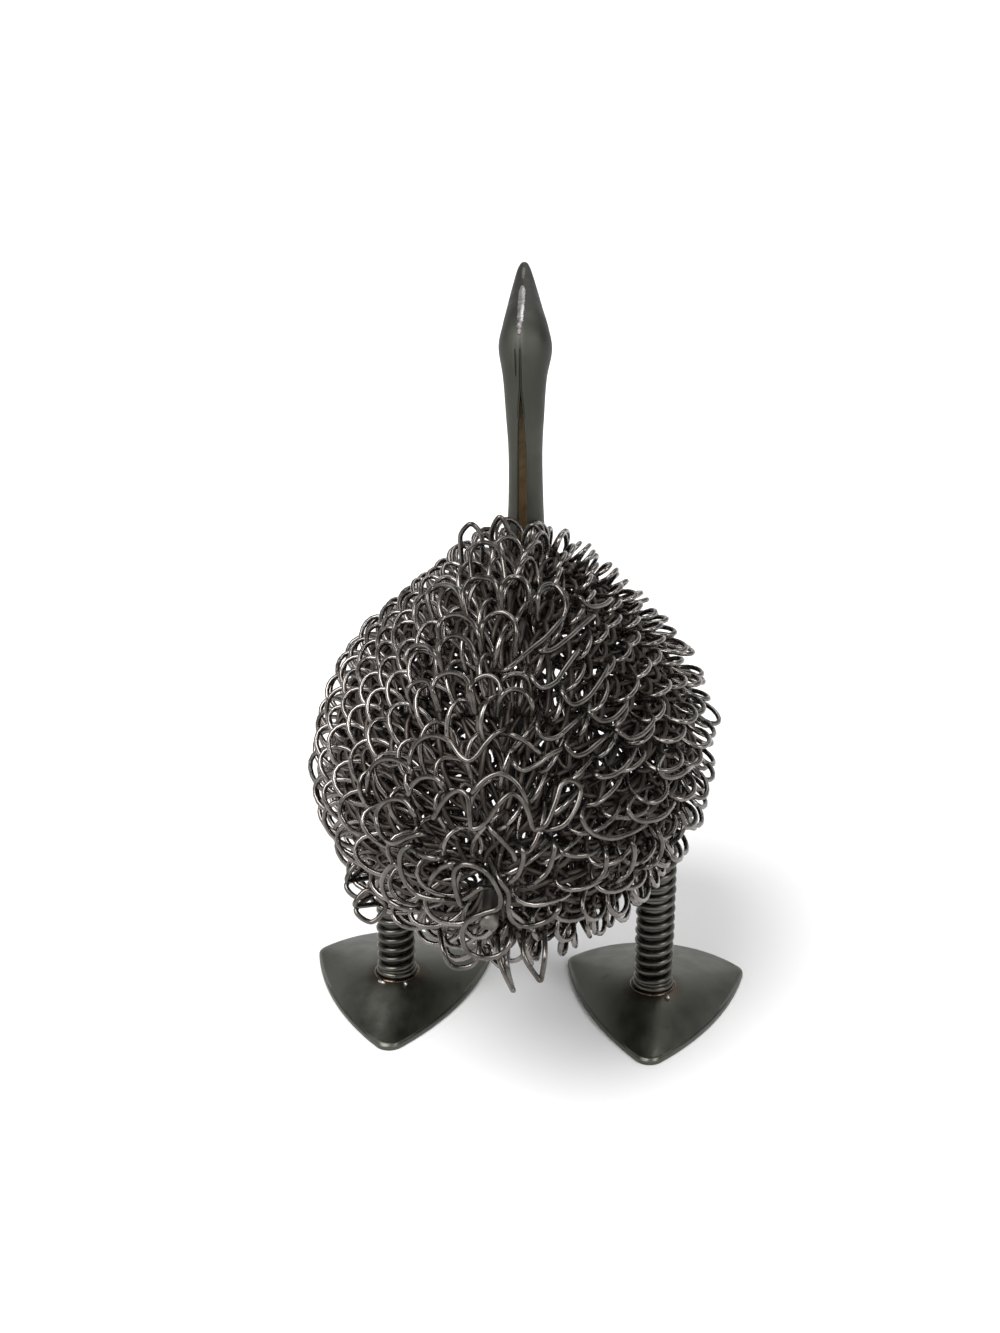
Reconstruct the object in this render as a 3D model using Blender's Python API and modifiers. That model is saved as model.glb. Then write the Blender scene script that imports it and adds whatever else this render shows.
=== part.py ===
"""Standing duck ornament: a neck and head of formed sheet steel, a body of steel-wire coils laid in
rows as plumage, a backbone rod inside it, two wire-wound legs and two pressed feet.

Metres, +Z up, the duck faces +Y, and it stands on z = 0.
"""

import math

import bmesh
import bpy
from mathutils import Matrix, Vector

MM = 0.001
GAP = 0.3 * MM                          # left between pieces that touch

# Body: an egg of coil rows about a long axis that drops to the tail. The breast is blunter than
# the tail, and a hoop is a rounded diamond more than a circle
BODY_CENTRE = Vector((0.0, -8.0 * MM, 135.5 * MM))
BODY_TILT = math.radians(9.0)
TAIL_LENGTH = 112.0 * MM
BREAST_LENGTH = 96.0 * MM
BREAST_BLUNTNESS = 0.55                 # power of the sine that rounds the breast, 1 for an ellipse
BODY_RADIUS = 87.5 * MM
SHOULDER_FLATTEN = 0.135                # a hoop's corners are pulled in by this share, above
BELLY_FLATTEN = 0.06                    # and below
PROFILE_STEPS = 600
ENVELOPE_CLEARANCE = GAP + 0.3 * MM     # the facets of the trimming guide sink in a little

# Coil rows: hoops of stretched coil, each drawn as a ring of slanted lobes
COIL_ROWS = 17
COIL_DEPTH = 18.0 * MM
TAIL_HOLE_RADIUS = 11.0 * MM
BREAST_HOLE_RADIUS = 4.0 * MM
LOBE_PITCH = 24.0 * MM
LOBE_SIDES = 6
FEWEST_LOBES = 5
LOBE_SLANT = math.radians(28.0)
VALLEY_DEPTH = 0.70                     # of the full outward height, between two lobes
VALLEY_WIDTH = 0.86                     # of the full width of a row

# Legs and feet, placed from the middle of the body
STANCE = 58.8 * MM                      # from the middle of the pair to each leg
STANCE_SHIFT = 4.3 * MM                 # the pair stands a little to the right of the body
LEG_Y = -6.0 * MM
LEG_RADIUS = 8.8 * MM
LEG_GROOVE = 1.1 * MM
LEG_TURN = 2.9 * MM                     # rise of one turn of wire
LEG_SIDES = 8
LEG_TOP = 96.0 * MM                     # before it is cut by the underside of the body
FOOT_PEAK = 15.0 * MM
FOOT_RIM = 2.6 * MM                     # height of the turned edge
FOOT_SHEET = 2.0 * MM
FOOT_HEEL = 42.5 * MM                   # from the leg back to the tip of the heel
FOOT_TOE = 61.0 * MM                    # from the leg forward to the middle of the toe edge
FOOT_CORNER_Y = 38.0 * MM               # centres of the two rounded toe corners
FOOT_CORNER_X = 35.2 * MM
FOOT_CORNER_RADIUS = 5.0 * MM
FOOT_HEEL_RADIUS = 5.0 * MM
FOOT_SIDE_RADIUS = 150.0 * MM           # bulge of the two sides
FOOT_TURNS = {"left": math.radians(3.0), "right": math.radians(-1.5)}    # both point outwards
FOOT_SEAT_RADIUS = 9.6 * MM             # flat on top, under the leg
FOOT_SIDE_STEPS = 6                     # facets along each side and along the toe edge
FOOT_TOE_STEPS = 7
FOOT_LEVELS = (0.0, 0.3, 0.62, 0.92)    # shares of the way from the seat to the rim
FOOT_DOME_POWER = 1.25
FOOT_EDGE = 0.75                        # of the rim's height, where the dome meets it

# Neck and head: one sheet, open along the nape
SHEET = 1.4 * MM
NECK_POINTS = 11                        # on each of its outer and inner faces
PLAIN_POINTS = 24

# Backbone rod
ROD_RADIUS = 3.5 * MM

STEEL_DARK = (0.060, 0.058, 0.052, 1.0)
WIRE_BLACK = (0.045, 0.041, 0.038, 1.0)


def clear_scene():
    """Remove whatever the scene holds."""
    for item in list(bpy.data.objects):
        bpy.data.objects.remove(item, do_unlink=True)


def new_collection(name):
    """Add a collection to the scene."""
    collection = bpy.data.collections.new(name)
    bpy.context.scene.collection.children.link(collection)
    return collection


def material(name, colour, roughness, metallic):
    """Principled material with the given colour and surface."""
    finish = bpy.data.materials.new(name)
    finish.use_nodes = True
    shader = finish.node_tree.nodes["Principled BSDF"]
    shader.inputs["Base Color"].default_value = colour
    shader.inputs["Roughness"].default_value = roughness
    shader.inputs["Metallic"].default_value = metallic
    return finish


def add_object(name, mesh, collection, finish=None):
    """Put a mesh in the scene as an object of the given collection."""
    item = bpy.data.objects.new(name, mesh)
    collection.objects.link(item)
    if finish:
        mesh.materials.append(finish)
    return item


def loft(name, rings):
    """Closed mesh through rings of points of equal count, with both ends capped."""
    shape = bmesh.new()
    loops = [[shape.verts.new(point) for point in ring] for ring in rings]
    count = len(loops[0])
    for lower, upper in zip(loops, loops[1:]):
        for i in range(count):
            j = (i + 1) % count
            shape.faces.new((lower[i], lower[j], upper[j], upper[i]))
    shape.faces.new(list(reversed(loops[0])))
    shape.faces.new(loops[-1])
    bmesh.ops.recalc_face_normals(shape, faces=shape.faces)
    mesh = bpy.data.meshes.new(name)
    shape.to_mesh(mesh)
    shape.free()
    return mesh


def shade_round(mesh, angle=math.radians(50.0)):
    """Smooth shading with sharp edges kept."""
    mesh.shade_smooth()
    mesh.set_sharp_from_angle(angle=angle)


# Body profile

def body_profile(angle, inset=0.0):
    """Point of the egg's profile, as (along the axis, out from it), with tangent and normal.

    The angle runs from 0 at the tail pole to pi at the breast pole.
    """
    def surface(a):
        if a < math.pi / 2:
            return Vector((-TAIL_LENGTH * math.cos(a), BODY_RADIUS * math.sin(a)))
        out = BODY_RADIUS * max(math.sin(a), 0.0) ** BREAST_BLUNTNESS
        return Vector((-BREAST_LENGTH * math.cos(a), out))

    step = 1e-4
    tangent = (surface(min(angle + step, math.pi)) - surface(max(angle - step, 0.0))).normalized()
    normal = Vector((-tangent.y, tangent.x))
    return surface(angle) - normal * inset, tangent, normal


def hoop_point(along, out, around):
    """Point of the body in its own frame, top at the tail, at an angle round the hoop."""
    flatten = SHOULDER_FLATTEN if math.sin(around) > 0 else BELLY_FLATTEN
    reach = out * (1.0 - flatten * math.sin(2 * around) ** 2)
    return (reach * math.cos(around), reach * math.sin(around), -along)


def row_angles():
    """Profile angles of the rows, at equal steps along the inset profile."""
    inset = COIL_DEPTH / 2
    angles = [math.pi * (i + 0.5) / PROFILE_STEPS for i in range(PROFILE_STEPS)]
    points = [body_profile(a, inset)[0] for a in angles]
    lengths = [0.0]
    for before, after in zip(points, points[1:]):
        lengths.append(lengths[-1] + (after - before).length)
    start = lengths[0] + TAIL_HOLE_RADIUS
    end = lengths[-1] - BREAST_HOLE_RADIUS
    spacing = (end - start) / COIL_ROWS
    found = []
    for row in range(COIL_ROWS):
        wanted = start + spacing * (row + 0.5)
        index = next(i for i, length in enumerate(lengths) if length >= wanted)
        share = (wanted - lengths[index - 1]) / (lengths[index] - lengths[index - 1])
        found.append(angles[index - 1] + share * (angles[index] - angles[index - 1]))
    return found, spacing


def body_matrix():
    """Places a shape made about local Z, with its top at the tail, on the body's axis."""
    axis = Vector((0.0, math.cos(BODY_TILT), math.sin(BODY_TILT)))
    across = Vector((1.0, 0.0, 0.0))
    rise = Vector((0.0, -math.sin(BODY_TILT), math.cos(BODY_TILT)))
    turn = Matrix((across, rise, -axis)).transposed().to_4x4()
    return Matrix.Translation(BODY_CENTRE) @ turn


def coil_row(name, angle, spacing, collection, finish):
    """One row: a torus drawn out into slanted lobes across the row's own section."""
    centre, tangent, normal = body_profile(angle, COIL_DEPTH / 2)
    lobes = max(FEWEST_LOBES, round(2 * math.pi * centre.y / LOBE_PITCH))
    half_width = (spacing - GAP) / 2
    half_depth = COIL_DEPTH / 2 / math.cos(math.pi / LOBE_SIDES)
    bpy.ops.mesh.primitive_torus_add(major_segments=2 * lobes, minor_segments=LOBE_SIDES,
                                     major_radius=centre.y, minor_radius=half_width / 2)
    row = bpy.context.object
    for vertex in row.data.vertices:
        x, y, z = vertex.co
        around = math.atan2(y, x)
        section = math.atan2(-z, math.hypot(x, y) - centre.y) + math.pi / LOBE_SIDES
        station = round(around / (math.pi / lobes))
        valley = station % 2 == 1
        wide = half_width * (VALLEY_WIDTH if valley else 1.0) * math.sin(section)
        deep = half_depth * math.cos(section)
        if valley:
            deep *= VALLEY_DEPTH if deep > 0 else VALLEY_WIDTH
        point = centre + tangent * wide + normal * deep
        turn = around - math.tan(LOBE_SLANT) * wide / centre.y
        vertex.co = hoop_point(point.x, point.y, turn)
    for holder in list(row.users_collection):
        holder.objects.unlink(row)
    collection.objects.link(row)
    row.name = name
    row.data.name = name
    row.matrix_world = body_matrix()
    row.data.materials.append(finish)
    shade_round(row.data, math.radians(80.0))
    return row


def body_envelope(collection):
    """Guide solid: the outside of the body, a touch larger, to trim what meets it from below."""
    shape = bmesh.new()
    bmesh.ops.create_uvsphere(shape, u_segments=72, v_segments=48, radius=1.0)
    for vertex in shape.verts:
        x, y, z = vertex.co
        point = body_profile(math.acos(max(-1.0, min(1.0, z))), -ENVELOPE_CLEARANCE)[0]
        vertex.co = hoop_point(point.x, max(point.y, 0.0), math.atan2(y, x))
    mesh = bpy.data.meshes.new("body_envelope")
    shape.to_mesh(mesh)
    shape.free()
    guide = add_object("body_envelope", mesh, collection)
    guide.matrix_world = body_matrix()
    guide.hide_render = True
    guide.display_type = "WIRE"
    return guide


# Neck and head

# Along the sheet from inside the body to the tip of the beak, in millimetres: place of the
# section's middle, its half width and half depth, its lean in degrees towards the beak, and half
# of the opening down the nape. The head is turned a little to the duck's left.
NECK_STATIONS = (
    (-0.5, 49.0, 170.0, 8.8, 8.4, 0.0, 2.2),
    (-0.5, 49.5, 204.0, 8.7, 8.4, 1.0, 2.2),
    (-0.6, 50.5, 224.0, 7.8, 8.2, 2.0, 2.1),
    (-1.0, 51.5, 246.0, 7.5, 8.2, 3.0, 1.8),
    (-1.4, 52.7, 264.0, 8.5, 8.6, 6.0, 1.2),
    (-1.7, 54.6, 278.5, 9.6, 9.8, 16.0, 0.6),
    (-1.9, 58.6, 290.3, 11.7, 11.6, 40.0, 0.2),
    (-2.5, 66.5, 297.0, 10.3, 11.0, 60.0, 0.16),
    (-3.9, 80.0, 302.4, 8.3, 8.6, 68.0, 0.16),
    (-5.5, 97.0, 309.0, 5.9, 5.6, 68.0, 0.16),
    (-6.9, 112.0, 315.0, 3.5, 3.4, 68.0, 0.16),
    (-7.3, 117.0, 317.0, 2.3, 2.3, 68.0, 0.16),
)


def neck_section(station, grow=0.0, plain=False):
    """Closed ring of points: round the outside of the sheet and back round its inside.

    A plain section is the ellipse of the outside, grown by the given amount.
    """
    x, y, z, half_width, half_depth = (value * MM for value in station[:5])
    lean = math.radians(station[5])
    middle = Vector((x, y, z))
    forward = Vector((0.0, math.cos(lean), -math.sin(lean)))

    def ring(across, along, turns):
        return [middle + Vector((across * math.sin(t), 0, 0)) - forward * (along * math.cos(t))
                for t in turns]

    def arc(across, along):
        start = math.asin(station[6] * MM / across)
        span = 2 * (math.pi - start) / (NECK_POINTS - 1)
        return ring(across, along, [start + span * i for i in range(NECK_POINTS)])

    if plain:
        turns = [2 * math.pi * i / PLAIN_POINTS for i in range(PLAIN_POINTS)]
        return ring(half_width + grow, half_depth + grow, turns)
    inside = arc(half_width - SHEET, half_depth - SHEET)
    return arc(half_width, half_depth) + list(reversed(inside))


def neck_and_head(collection, finish):
    """Sheet formed to a tube, open down the nape and drawn out to a beak."""
    mesh = loft("neck_and_head", [neck_section(station) for station in NECK_STATIONS])
    shade_round(mesh, math.radians(40.0))
    return add_object("neck_and_head", mesh, collection, finish)


def neck_clearance(collection):
    """Guide solid: the neck and a touch more, to notch the coil rows that meet it."""
    rings = [neck_section(station, GAP, plain=True) for station in NECK_STATIONS[:4]]
    guide = add_object("neck_clearance", loft("neck_clearance", rings), collection)
    guide.hide_render = True
    guide.display_type = "WIRE"
    return guide


# Backbone rod

# Places along the middle plane, (y, z) in millimetres, from inside the neck to the tail
ROD_ROUTE = ((52.0, 198.0), (51.8, 176.0), (49.0, 156.0), (40.0, 142.0), (22.0, 135.5),
             (-8.0, 133.5), (-36.0, 131.0), (-64.0, 126.0), (-92.0, 118.3), (-120.0, 108.0))


def backbone_rod(collection, finish):
    """Round rod from inside the neck, along the middle of the body, to the tail."""
    curve = bpy.data.curves.new("backbone_rod", "CURVE")
    curve.dimensions = "3D"
    spline = curve.splines.new("POLY")
    spline.points.add(len(ROD_ROUTE) - 1)
    for point, (y, z) in zip(spline.points, ROD_ROUTE):
        point.co = (0.0, y * MM, z * MM, 1.0)
    curve.bevel_depth = ROD_RADIUS
    curve.bevel_resolution = 2
    curve.use_fill_caps = True
    curve.materials.append(finish)
    rod = bpy.data.objects.new("backbone_rod", curve)
    collection.objects.link(rod)
    return rod


# Legs and feet

def leg(name, x, envelope, collection, finish):
    """Column of close turns of wire, trimmed where it meets the body."""
    bottom = FOOT_PEAK + GAP
    turns = round((LEG_TOP - bottom) / LEG_TURN)
    rise = (LEG_TOP - bottom) / turns
    outline = [(0.0, 0.0, LEG_TOP)]
    for turn in range(turns):
        top = LEG_TOP - turn * rise
        outline.append((LEG_RADIUS - LEG_GROOVE, 0.0, top))
        outline.append((LEG_RADIUS, 0.0, top - rise / 2))
    outline.append((LEG_RADIUS - LEG_GROOVE, 0.0, bottom))
    outline.append((0.0, 0.0, bottom))
    mesh = bpy.data.meshes.new(name)
    mesh.from_pydata(outline, [(i, i + 1) for i in range(len(outline) - 1)], [])
    column = add_object(name, mesh, collection, finish)
    column.location = (x, LEG_Y, 0.0)
    screw = column.modifiers.new("turned", "SCREW")
    screw.steps = screw.render_steps = LEG_SIDES
    screw.use_merge_vertices = True
    screw.merge_threshold = 0.00001
    trim = column.modifiers.new("body", "BOOLEAN")
    trim.operation = "DIFFERENCE"
    trim.object = envelope
    return column


def arc_between(first, first_radius, second, second_radius, radius, steps):
    """Points of the arc that closes round two corner circles, on their right-hand side."""
    to_first = radius - first_radius
    to_second = radius - second_radius
    span = (second - first).length
    along = (to_first ** 2 - to_second ** 2 + span ** 2) / (2 * span)
    off = math.sqrt(to_first ** 2 - along ** 2)
    direction = (second - first).normalized()
    inward = Vector((-direction.y, direction.x))
    centre = first + direction * along + inward * off
    start = (first - centre).normalized()
    end = (second - centre).normalized()
    begin = math.atan2(start.y, start.x)
    sweep = (math.atan2(end.y, end.x) - begin) % (2 * math.pi)
    turns = [begin + sweep * i / steps for i in range(steps + 1)]
    return [centre + Vector((math.cos(t), math.sin(t))) * radius for t in turns]


def foot_outline():
    """Rounded triangle, heel at -Y, as points round the leg's own centre."""
    heel = Vector((0.0, FOOT_HEEL_RADIUS - FOOT_HEEL))
    right = Vector((FOOT_CORNER_X, FOOT_CORNER_Y))
    left = Vector((-FOOT_CORNER_X, FOOT_CORNER_Y))
    sagitta = FOOT_TOE - FOOT_CORNER_Y - FOOT_CORNER_RADIUS
    toe_radius = (FOOT_CORNER_X ** 2 + sagitta ** 2) / (2 * sagitta) + FOOT_CORNER_RADIUS
    outline = arc_between(heel, FOOT_HEEL_RADIUS, right, FOOT_CORNER_RADIUS, FOOT_SIDE_RADIUS,
                           FOOT_SIDE_STEPS)
    outline += arc_between(right, FOOT_CORNER_RADIUS, left, FOOT_CORNER_RADIUS, toe_radius,
                           FOOT_TOE_STEPS)
    outline += arc_between(left, FOOT_CORNER_RADIUS, heel, FOOT_HEEL_RADIUS, FOOT_SIDE_RADIUS,
                           FOOT_SIDE_STEPS)
    return outline


def foot(name, x, turn, collection, finish):
    """Sheet pressed to a dome with a turned edge, hollow underneath."""
    outline = foot_outline()
    seat = [p.normalized() * FOOT_SEAT_RADIUS for p in outline]

    def level(share, z, inset=0.0):
        ring = []
        for rim, top in zip(outline, seat):
            point = top.lerp(rim, share)
            point -= point.normalized() * inset
            ring.append((point.x, point.y, z))
        return ring

    def dome(share):
        return FOOT_RIM + (FOOT_PEAK - FOOT_RIM) * (1.0 - share ** FOOT_DOME_POWER)

    rings = [level(share, dome(share)) for share in FOOT_LEVELS]
    rings.append(level(1.0, FOOT_RIM * FOOT_EDGE))
    rings.append(level(1.0, 0.0))
    rings.append(level(1.0, 0.0, inset=FOOT_SHEET))
    rings += [level(share, dome(share) - FOOT_SHEET, inset=FOOT_SHEET * share)
              for share in reversed(FOOT_LEVELS[:-1])]
    mesh = loft(name, rings)
    shade_round(mesh, math.radians(35.0))
    plate = add_object(name, mesh, collection, finish)
    plate.location = (x, LEG_Y, 0.0)
    plate.rotation_euler.z = turn
    return plate


def centre_on_origin(pieces, root):
    """Shift the whole object so that its box stands on the middle of the floor."""
    bpy.context.view_layer.update()
    depsgraph = bpy.context.evaluated_depsgraph_get()
    points = []
    for piece in pieces:
        solid = piece.evaluated_get(depsgraph)
        points += [solid.matrix_world @ vertex.co for vertex in solid.to_mesh().vertices]
        solid.to_mesh_clear()
    low = Vector([min(p[i] for p in points) for i in range(3)])
    high = Vector([max(p[i] for p in points) for i in range(3)])
    root.location = (-(low.x + high.x) / 2, -(low.y + high.y) / 2, 0.0)


def main():
    """Build every piece and stand the duck on the origin."""
    clear_scene()
    parts = new_collection("duck_sculpture")
    guides = new_collection("cutters")
    sheet_steel = material("sheet_steel", STEEL_DARK, 0.38, 1.0)
    coil_wire = material("coil_wire", WIRE_BLACK, 0.30, 1.0)

    envelope = body_envelope(guides)
    clearance = neck_clearance(guides)

    pieces = [neck_and_head(parts, sheet_steel), backbone_rod(parts, sheet_steel)]
    for side, x in (("left", STANCE_SHIFT - STANCE), ("right", STANCE_SHIFT + STANCE)):
        pieces.append(leg("leg_" + side, x, envelope, parts, coil_wire))
        pieces.append(foot("foot_" + side, x, FOOT_TURNS[side], parts, sheet_steel))

    angles, spacing = row_angles()
    for number, angle in enumerate(angles, start=1):
        row = coil_row("feather_coil_%02d" % number, angle, spacing, parts, coil_wire)
        notch = row.modifiers.new("neck", "BOOLEAN")
        notch.operation = "DIFFERENCE"
        notch.object = clearance
        pieces.append(row)

    root = bpy.data.objects.new("duck", None)
    parts.objects.link(root)
    for item in pieces + [envelope, clearance]:
        item.parent = root
    centre_on_origin(pieces, root)


main()
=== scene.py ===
"""Looks of a standing duck ornament of formed sheet steel and coiled steel wire.

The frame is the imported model: metres, +Z up, the duck faces +Y and stands on z = 0.
"""

import logging
import math
from dataclasses import dataclass, replace
from enum import Enum
from typing import Any, Iterable, Iterator, Sequence

import bpy
import numpy as np
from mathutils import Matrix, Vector


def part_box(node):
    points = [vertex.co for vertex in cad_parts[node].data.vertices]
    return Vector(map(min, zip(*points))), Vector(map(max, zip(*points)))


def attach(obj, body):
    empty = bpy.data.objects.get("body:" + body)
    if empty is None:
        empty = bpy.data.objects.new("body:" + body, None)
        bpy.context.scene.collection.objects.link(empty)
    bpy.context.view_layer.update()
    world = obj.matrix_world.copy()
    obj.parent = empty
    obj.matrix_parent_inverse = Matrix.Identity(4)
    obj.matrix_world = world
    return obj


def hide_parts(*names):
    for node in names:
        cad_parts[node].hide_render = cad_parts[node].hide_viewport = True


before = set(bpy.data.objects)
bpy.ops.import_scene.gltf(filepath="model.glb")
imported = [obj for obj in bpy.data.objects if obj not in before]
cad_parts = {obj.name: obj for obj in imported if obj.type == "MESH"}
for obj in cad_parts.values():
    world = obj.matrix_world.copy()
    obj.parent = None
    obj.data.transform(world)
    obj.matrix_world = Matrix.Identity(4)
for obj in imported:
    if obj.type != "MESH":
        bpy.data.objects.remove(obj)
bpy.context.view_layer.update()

MM = 0.001
DEG = math.pi / 180.0
LOG = logging.getLogger("duck")

Points = np.ndarray
Skin = tuple[Points, Sequence[Sequence[int]]]
Course = tuple[tuple[float, float, float], ...]
Colour = tuple[float, float, float]
Material = bpy.types.Material
Socket = bpy.types.NodeSocket
Tree = bpy.types.NodeTree


class Side(Enum):
    """Side of the duck, as the sign of its X direction."""

    LEFT = -1
    RIGHT = 1

    @property
    def word(self) -> str:
        """Name of the side in lower case."""
        return self.name.lower()


class Slot(Enum):
    """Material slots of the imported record."""

    SHEET = "sheet_steel"
    ROD = "rod_steel"
    WIRE = "coil_wire"


# Nodes

def fill(tree: Tree, node: bpy.types.Node, inputs: dict[str | int, Any]) -> None:
    """Fill inputs of a node, each with a value or with a link.

    Args:
        tree: Node tree of the node.
        node: Node to fill.
        inputs: Value or socket for each input, by its name or its number.
    """
    for name, value in inputs.items():
        if isinstance(value, Socket):
            tree.links.new(value, node.inputs[name])
        else:
            node.inputs[name].default_value = value


def lay(tree: Tree, kind: str, inputs: dict[str | int, Any], **options: str) -> bpy.types.Node:
    """Add a node and fill it.

    Args:
        tree: Node tree that gets the node.
        kind: Kind of node.
        inputs: Its inputs, as for fill.
        options: Its own settings.

    Returns:
        The new node.
    """
    node = tree.nodes.new("ShaderNode" + kind)
    for name, value in options.items():
        setattr(node, name, value)
    fill(tree, node, inputs)
    return node


def ramp(tree: Tree, value: Socket, low: float, high: float, start: float = 0.0,
         end: float = 1.0) -> Socket:
    """Spread a value from one range over another, and cut it off there.

    Args:
        tree: Node tree that does it.
        value: Socket to spread.
        low: Value that becomes the start.
        high: Value that becomes the end.
        start: Result at the low value.
        end: Result at the high value.

    Returns:
        The spread value's socket.
    """
    spread = lay(tree, "MapRange", {"Value": value, "From Min": low, "From Max": high,
                                    "To Min": start, "To Max": end})
    return spread.outputs["Result"]


# Finishes

@dataclass(frozen=True)
class SteelFinish:
    """A steel surface: two shades in soft patches, uneven gloss and fine relief.

    Attributes:
        name: Name of the material.
        shade: Colour of the darker patches.
        tint: Colour of the lighter patches.
        stain: Colour of the browned spots, and the colour that the place round burn_and_painted_shade
            turns to.
        stain_share: How far the browned spots take over, from 0 to 1.
        patch: Number of patches to a metre.
        gloss: Lowest and highest roughness.
        relief: Depth of the fine relief, in metres.
        grain: Number of relief grains to a metre.
        stretch: How far the grain is drawn out along Z.
        metallic: Share of bare metal, from 0 to 1.
        burn_and_painted_shade: Place (x, y) round which the colour turns to the stain, and how far that
            reaches: heat brown at the legs, painted shade at the head, a greyer end on the crown's
            weld.
        patch_edge: Noise values between which the shade turns to the tint.
        spots: Browned spots and worn spots to each patch.
        wear_edge: Noise values between which the roughness runs.
        stain_edge: Noise values between which the browned spots set in.
        stain_gain: How far a full stain share lowers the first of them.
        burn_and_shade_edge: How uneven that darkened place is, and where it ends, as shares of its
            reach.
    """

    name: str
    shade: Colour
    tint: Colour
    stain: Colour = (0.045, 0.026, 0.014)
    stain_share: float = 0.0
    patch: float = 60.0
    gloss: tuple[float, float] = (0.3, 0.45)
    relief: float = 0.05 * MM
    grain: float = 900.0
    stretch: float = 1.0
    metallic: float = 1.0
    burn_and_painted_shade: tuple[float, float, float] | None = None
    patch_edge: tuple[float, float] = (0.35, 0.68)
    spots: tuple[float, float] = (2.6, 4.0)
    wear_edge: tuple[float, float] = (0.3, 0.7)
    stain_edge: tuple[float, float] = (0.72, 0.78)
    stain_gain: float = 0.3
    burn_and_shade_edge: tuple[float, float] = (0.7, 1.45)

    def build(self) -> Material:
        """Make the material with its nodes."""
        material = bpy.data.materials.new(self.name)
        material.use_nodes = True
        tree = material.node_tree
        place = tree.nodes.new("ShaderNodeTexCoord").outputs["Object"]
        brown_spots, worn_spots = self.spots

        patches = self._noise(tree, place, self.patch, 4.0)
        colour = self._mix(tree, ramp(tree, patches, *self.patch_edge), self.shade, self.tint)
        if self.stain_share > 0.0:
            spots = self._noise(tree, place, self.patch * brown_spots, 6.0)
            low, high = self.stain_edge
            reach = ramp(tree, spots, low - self.stain_gain * self.stain_share, high)
            colour = self._mix(tree, reach, colour, self.stain)
        # Heat brown round the legs; painted shade on the head.
        if self.burn_and_painted_shade:
            colour = self._mix(tree, self._burn_and_shade_share(tree, place, patches), colour, self.stain)
        wear = self._noise(tree, place, self.patch * worn_spots, 5.0)
        drawn = lay(tree, "Mapping", {"Vector": place, "Scale": (1.0, 1.0, 1.0 / self.stretch)})
        grains = self._noise(tree, drawn.outputs["Vector"], self.grain, 3.0)
        bump = lay(tree, "Bump", {"Distance": self.relief, "Height": grains})
        fill(tree, tree.nodes["Principled BSDF"],
             {"Metallic": self.metallic, "Base Color": colour,
              "Roughness": ramp(tree, wear, *self.wear_edge, *self.gloss),
              "Normal": bump.outputs["Normal"]})
        return material

    def _burn_and_shade_share(self, tree: Tree, place: Socket, patches: Socket) -> Socket:
        """Share of the stain round its place, fading unevenly: heat brown at the legs, painted shade at
        the head.

        Args:
            tree: Node tree of the material.
            place: Coordinates of the surface.
            patches: Noise that makes the edge uneven.

        Returns:
            The share's socket.
        """
        x, y, reach = self.burn_and_painted_shade
        ragged, end = self.burn_and_shade_edge
        flat = lay(tree, "Mapping", {"Vector": place, "Location": (-x, -y, 0.0),
                                     "Scale": (1.0, 1.0, 0.0)})
        far = lay(tree, "VectorMath", {0: flat.outputs["Vector"]}, operation="LENGTH")
        uneven = lay(tree, "Math", {0: patches, 1: reach * ragged, 2: far.outputs["Value"]},
                     operation="MULTIPLY_ADD")
        return ramp(tree, uneven.outputs["Value"], reach * end, reach)

    @staticmethod
    def _noise(tree: Tree, place: Socket, scale: float, detail: float) -> Socket:
        """Noise at some coordinates, with its features to a metre and its finer octaves."""
        return lay(tree, "TexNoise", {"Vector": place, "Scale": scale,
                                      "Detail": detail}).outputs["Fac"]

    @staticmethod
    def _mix(tree: Tree, share: Socket, first: Colour | Socket, second: Colour | Socket) -> Socket:
        """Blend two colours.

        Args:
            tree: Node tree of the material.
            share: How much of the second colour shows.
            first: Colour or socket shown at 0.
            second: Colour or socket shown at 1.

        Returns:
            The blended colour's socket.
        """
        first, second = ((*colour, 1.0) if isinstance(colour, tuple) else colour
                         for colour in (first, second))
        return lay(tree, "Mix", {0: share, 6: first, 7: second}, data_type="RGBA").outputs[2]


WOUND_WIRE = SteelFinish("wound_wire", shade=(0.120, 0.108, 0.100), tint=(0.240, 0.222, 0.208),
                         stain=(0.080, 0.055, 0.040), stain_share=0.3, patch=120.0,
                         gloss=(0.18, 0.32), relief=0.02 * MM, grain=1500.0)
# Painted shade: a darker, duller copy of the wound wire for the windings deep in the body, standing in
# for the shade among the coils.
PAINTED_SHADE_WIRE = SteelFinish("painted_shade_wire", shade=(0.064, 0.054, 0.047), tint=(0.096, 0.082, 0.073),
                          stain=(0.056, 0.038, 0.028), stain_share=0.4, patch=120.0,
                          gloss=(0.42, 0.60), relief=0.03 * MM, grain=1500.0)
LEG_WIRE = SteelFinish("leg_wire", shade=(0.070, 0.067, 0.058), tint=(0.112, 0.108, 0.096),
                       stain=(0.090, 0.066, 0.048), stain_share=0.3, patch=90.0,
                       gloss=(0.26, 0.42), relief=0.03 * MM, grain=1200.0)
FORMED_SHEET = SteelFinish("formed_sheet", shade=(0.060, 0.061, 0.052),
                           tint=(0.080, 0.081, 0.070), stain=(0.050, 0.049, 0.044),
                           stain_share=0.15, patch=38.0, gloss=(0.50, 0.64),
                           relief=0.04 * MM, grain=700.0, stretch=5.0)
INSIDE_SHEET = SteelFinish("inside_of_sheet", shade=(0.460, 0.370, 0.240),
                           tint=(0.620, 0.520, 0.360), stain=(0.380, 0.260, 0.140),
                           stain_share=0.6, patch=90.0, gloss=(0.60, 0.80),
                           relief=0.08 * MM, grain=600.0, metallic=0.0)
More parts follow.
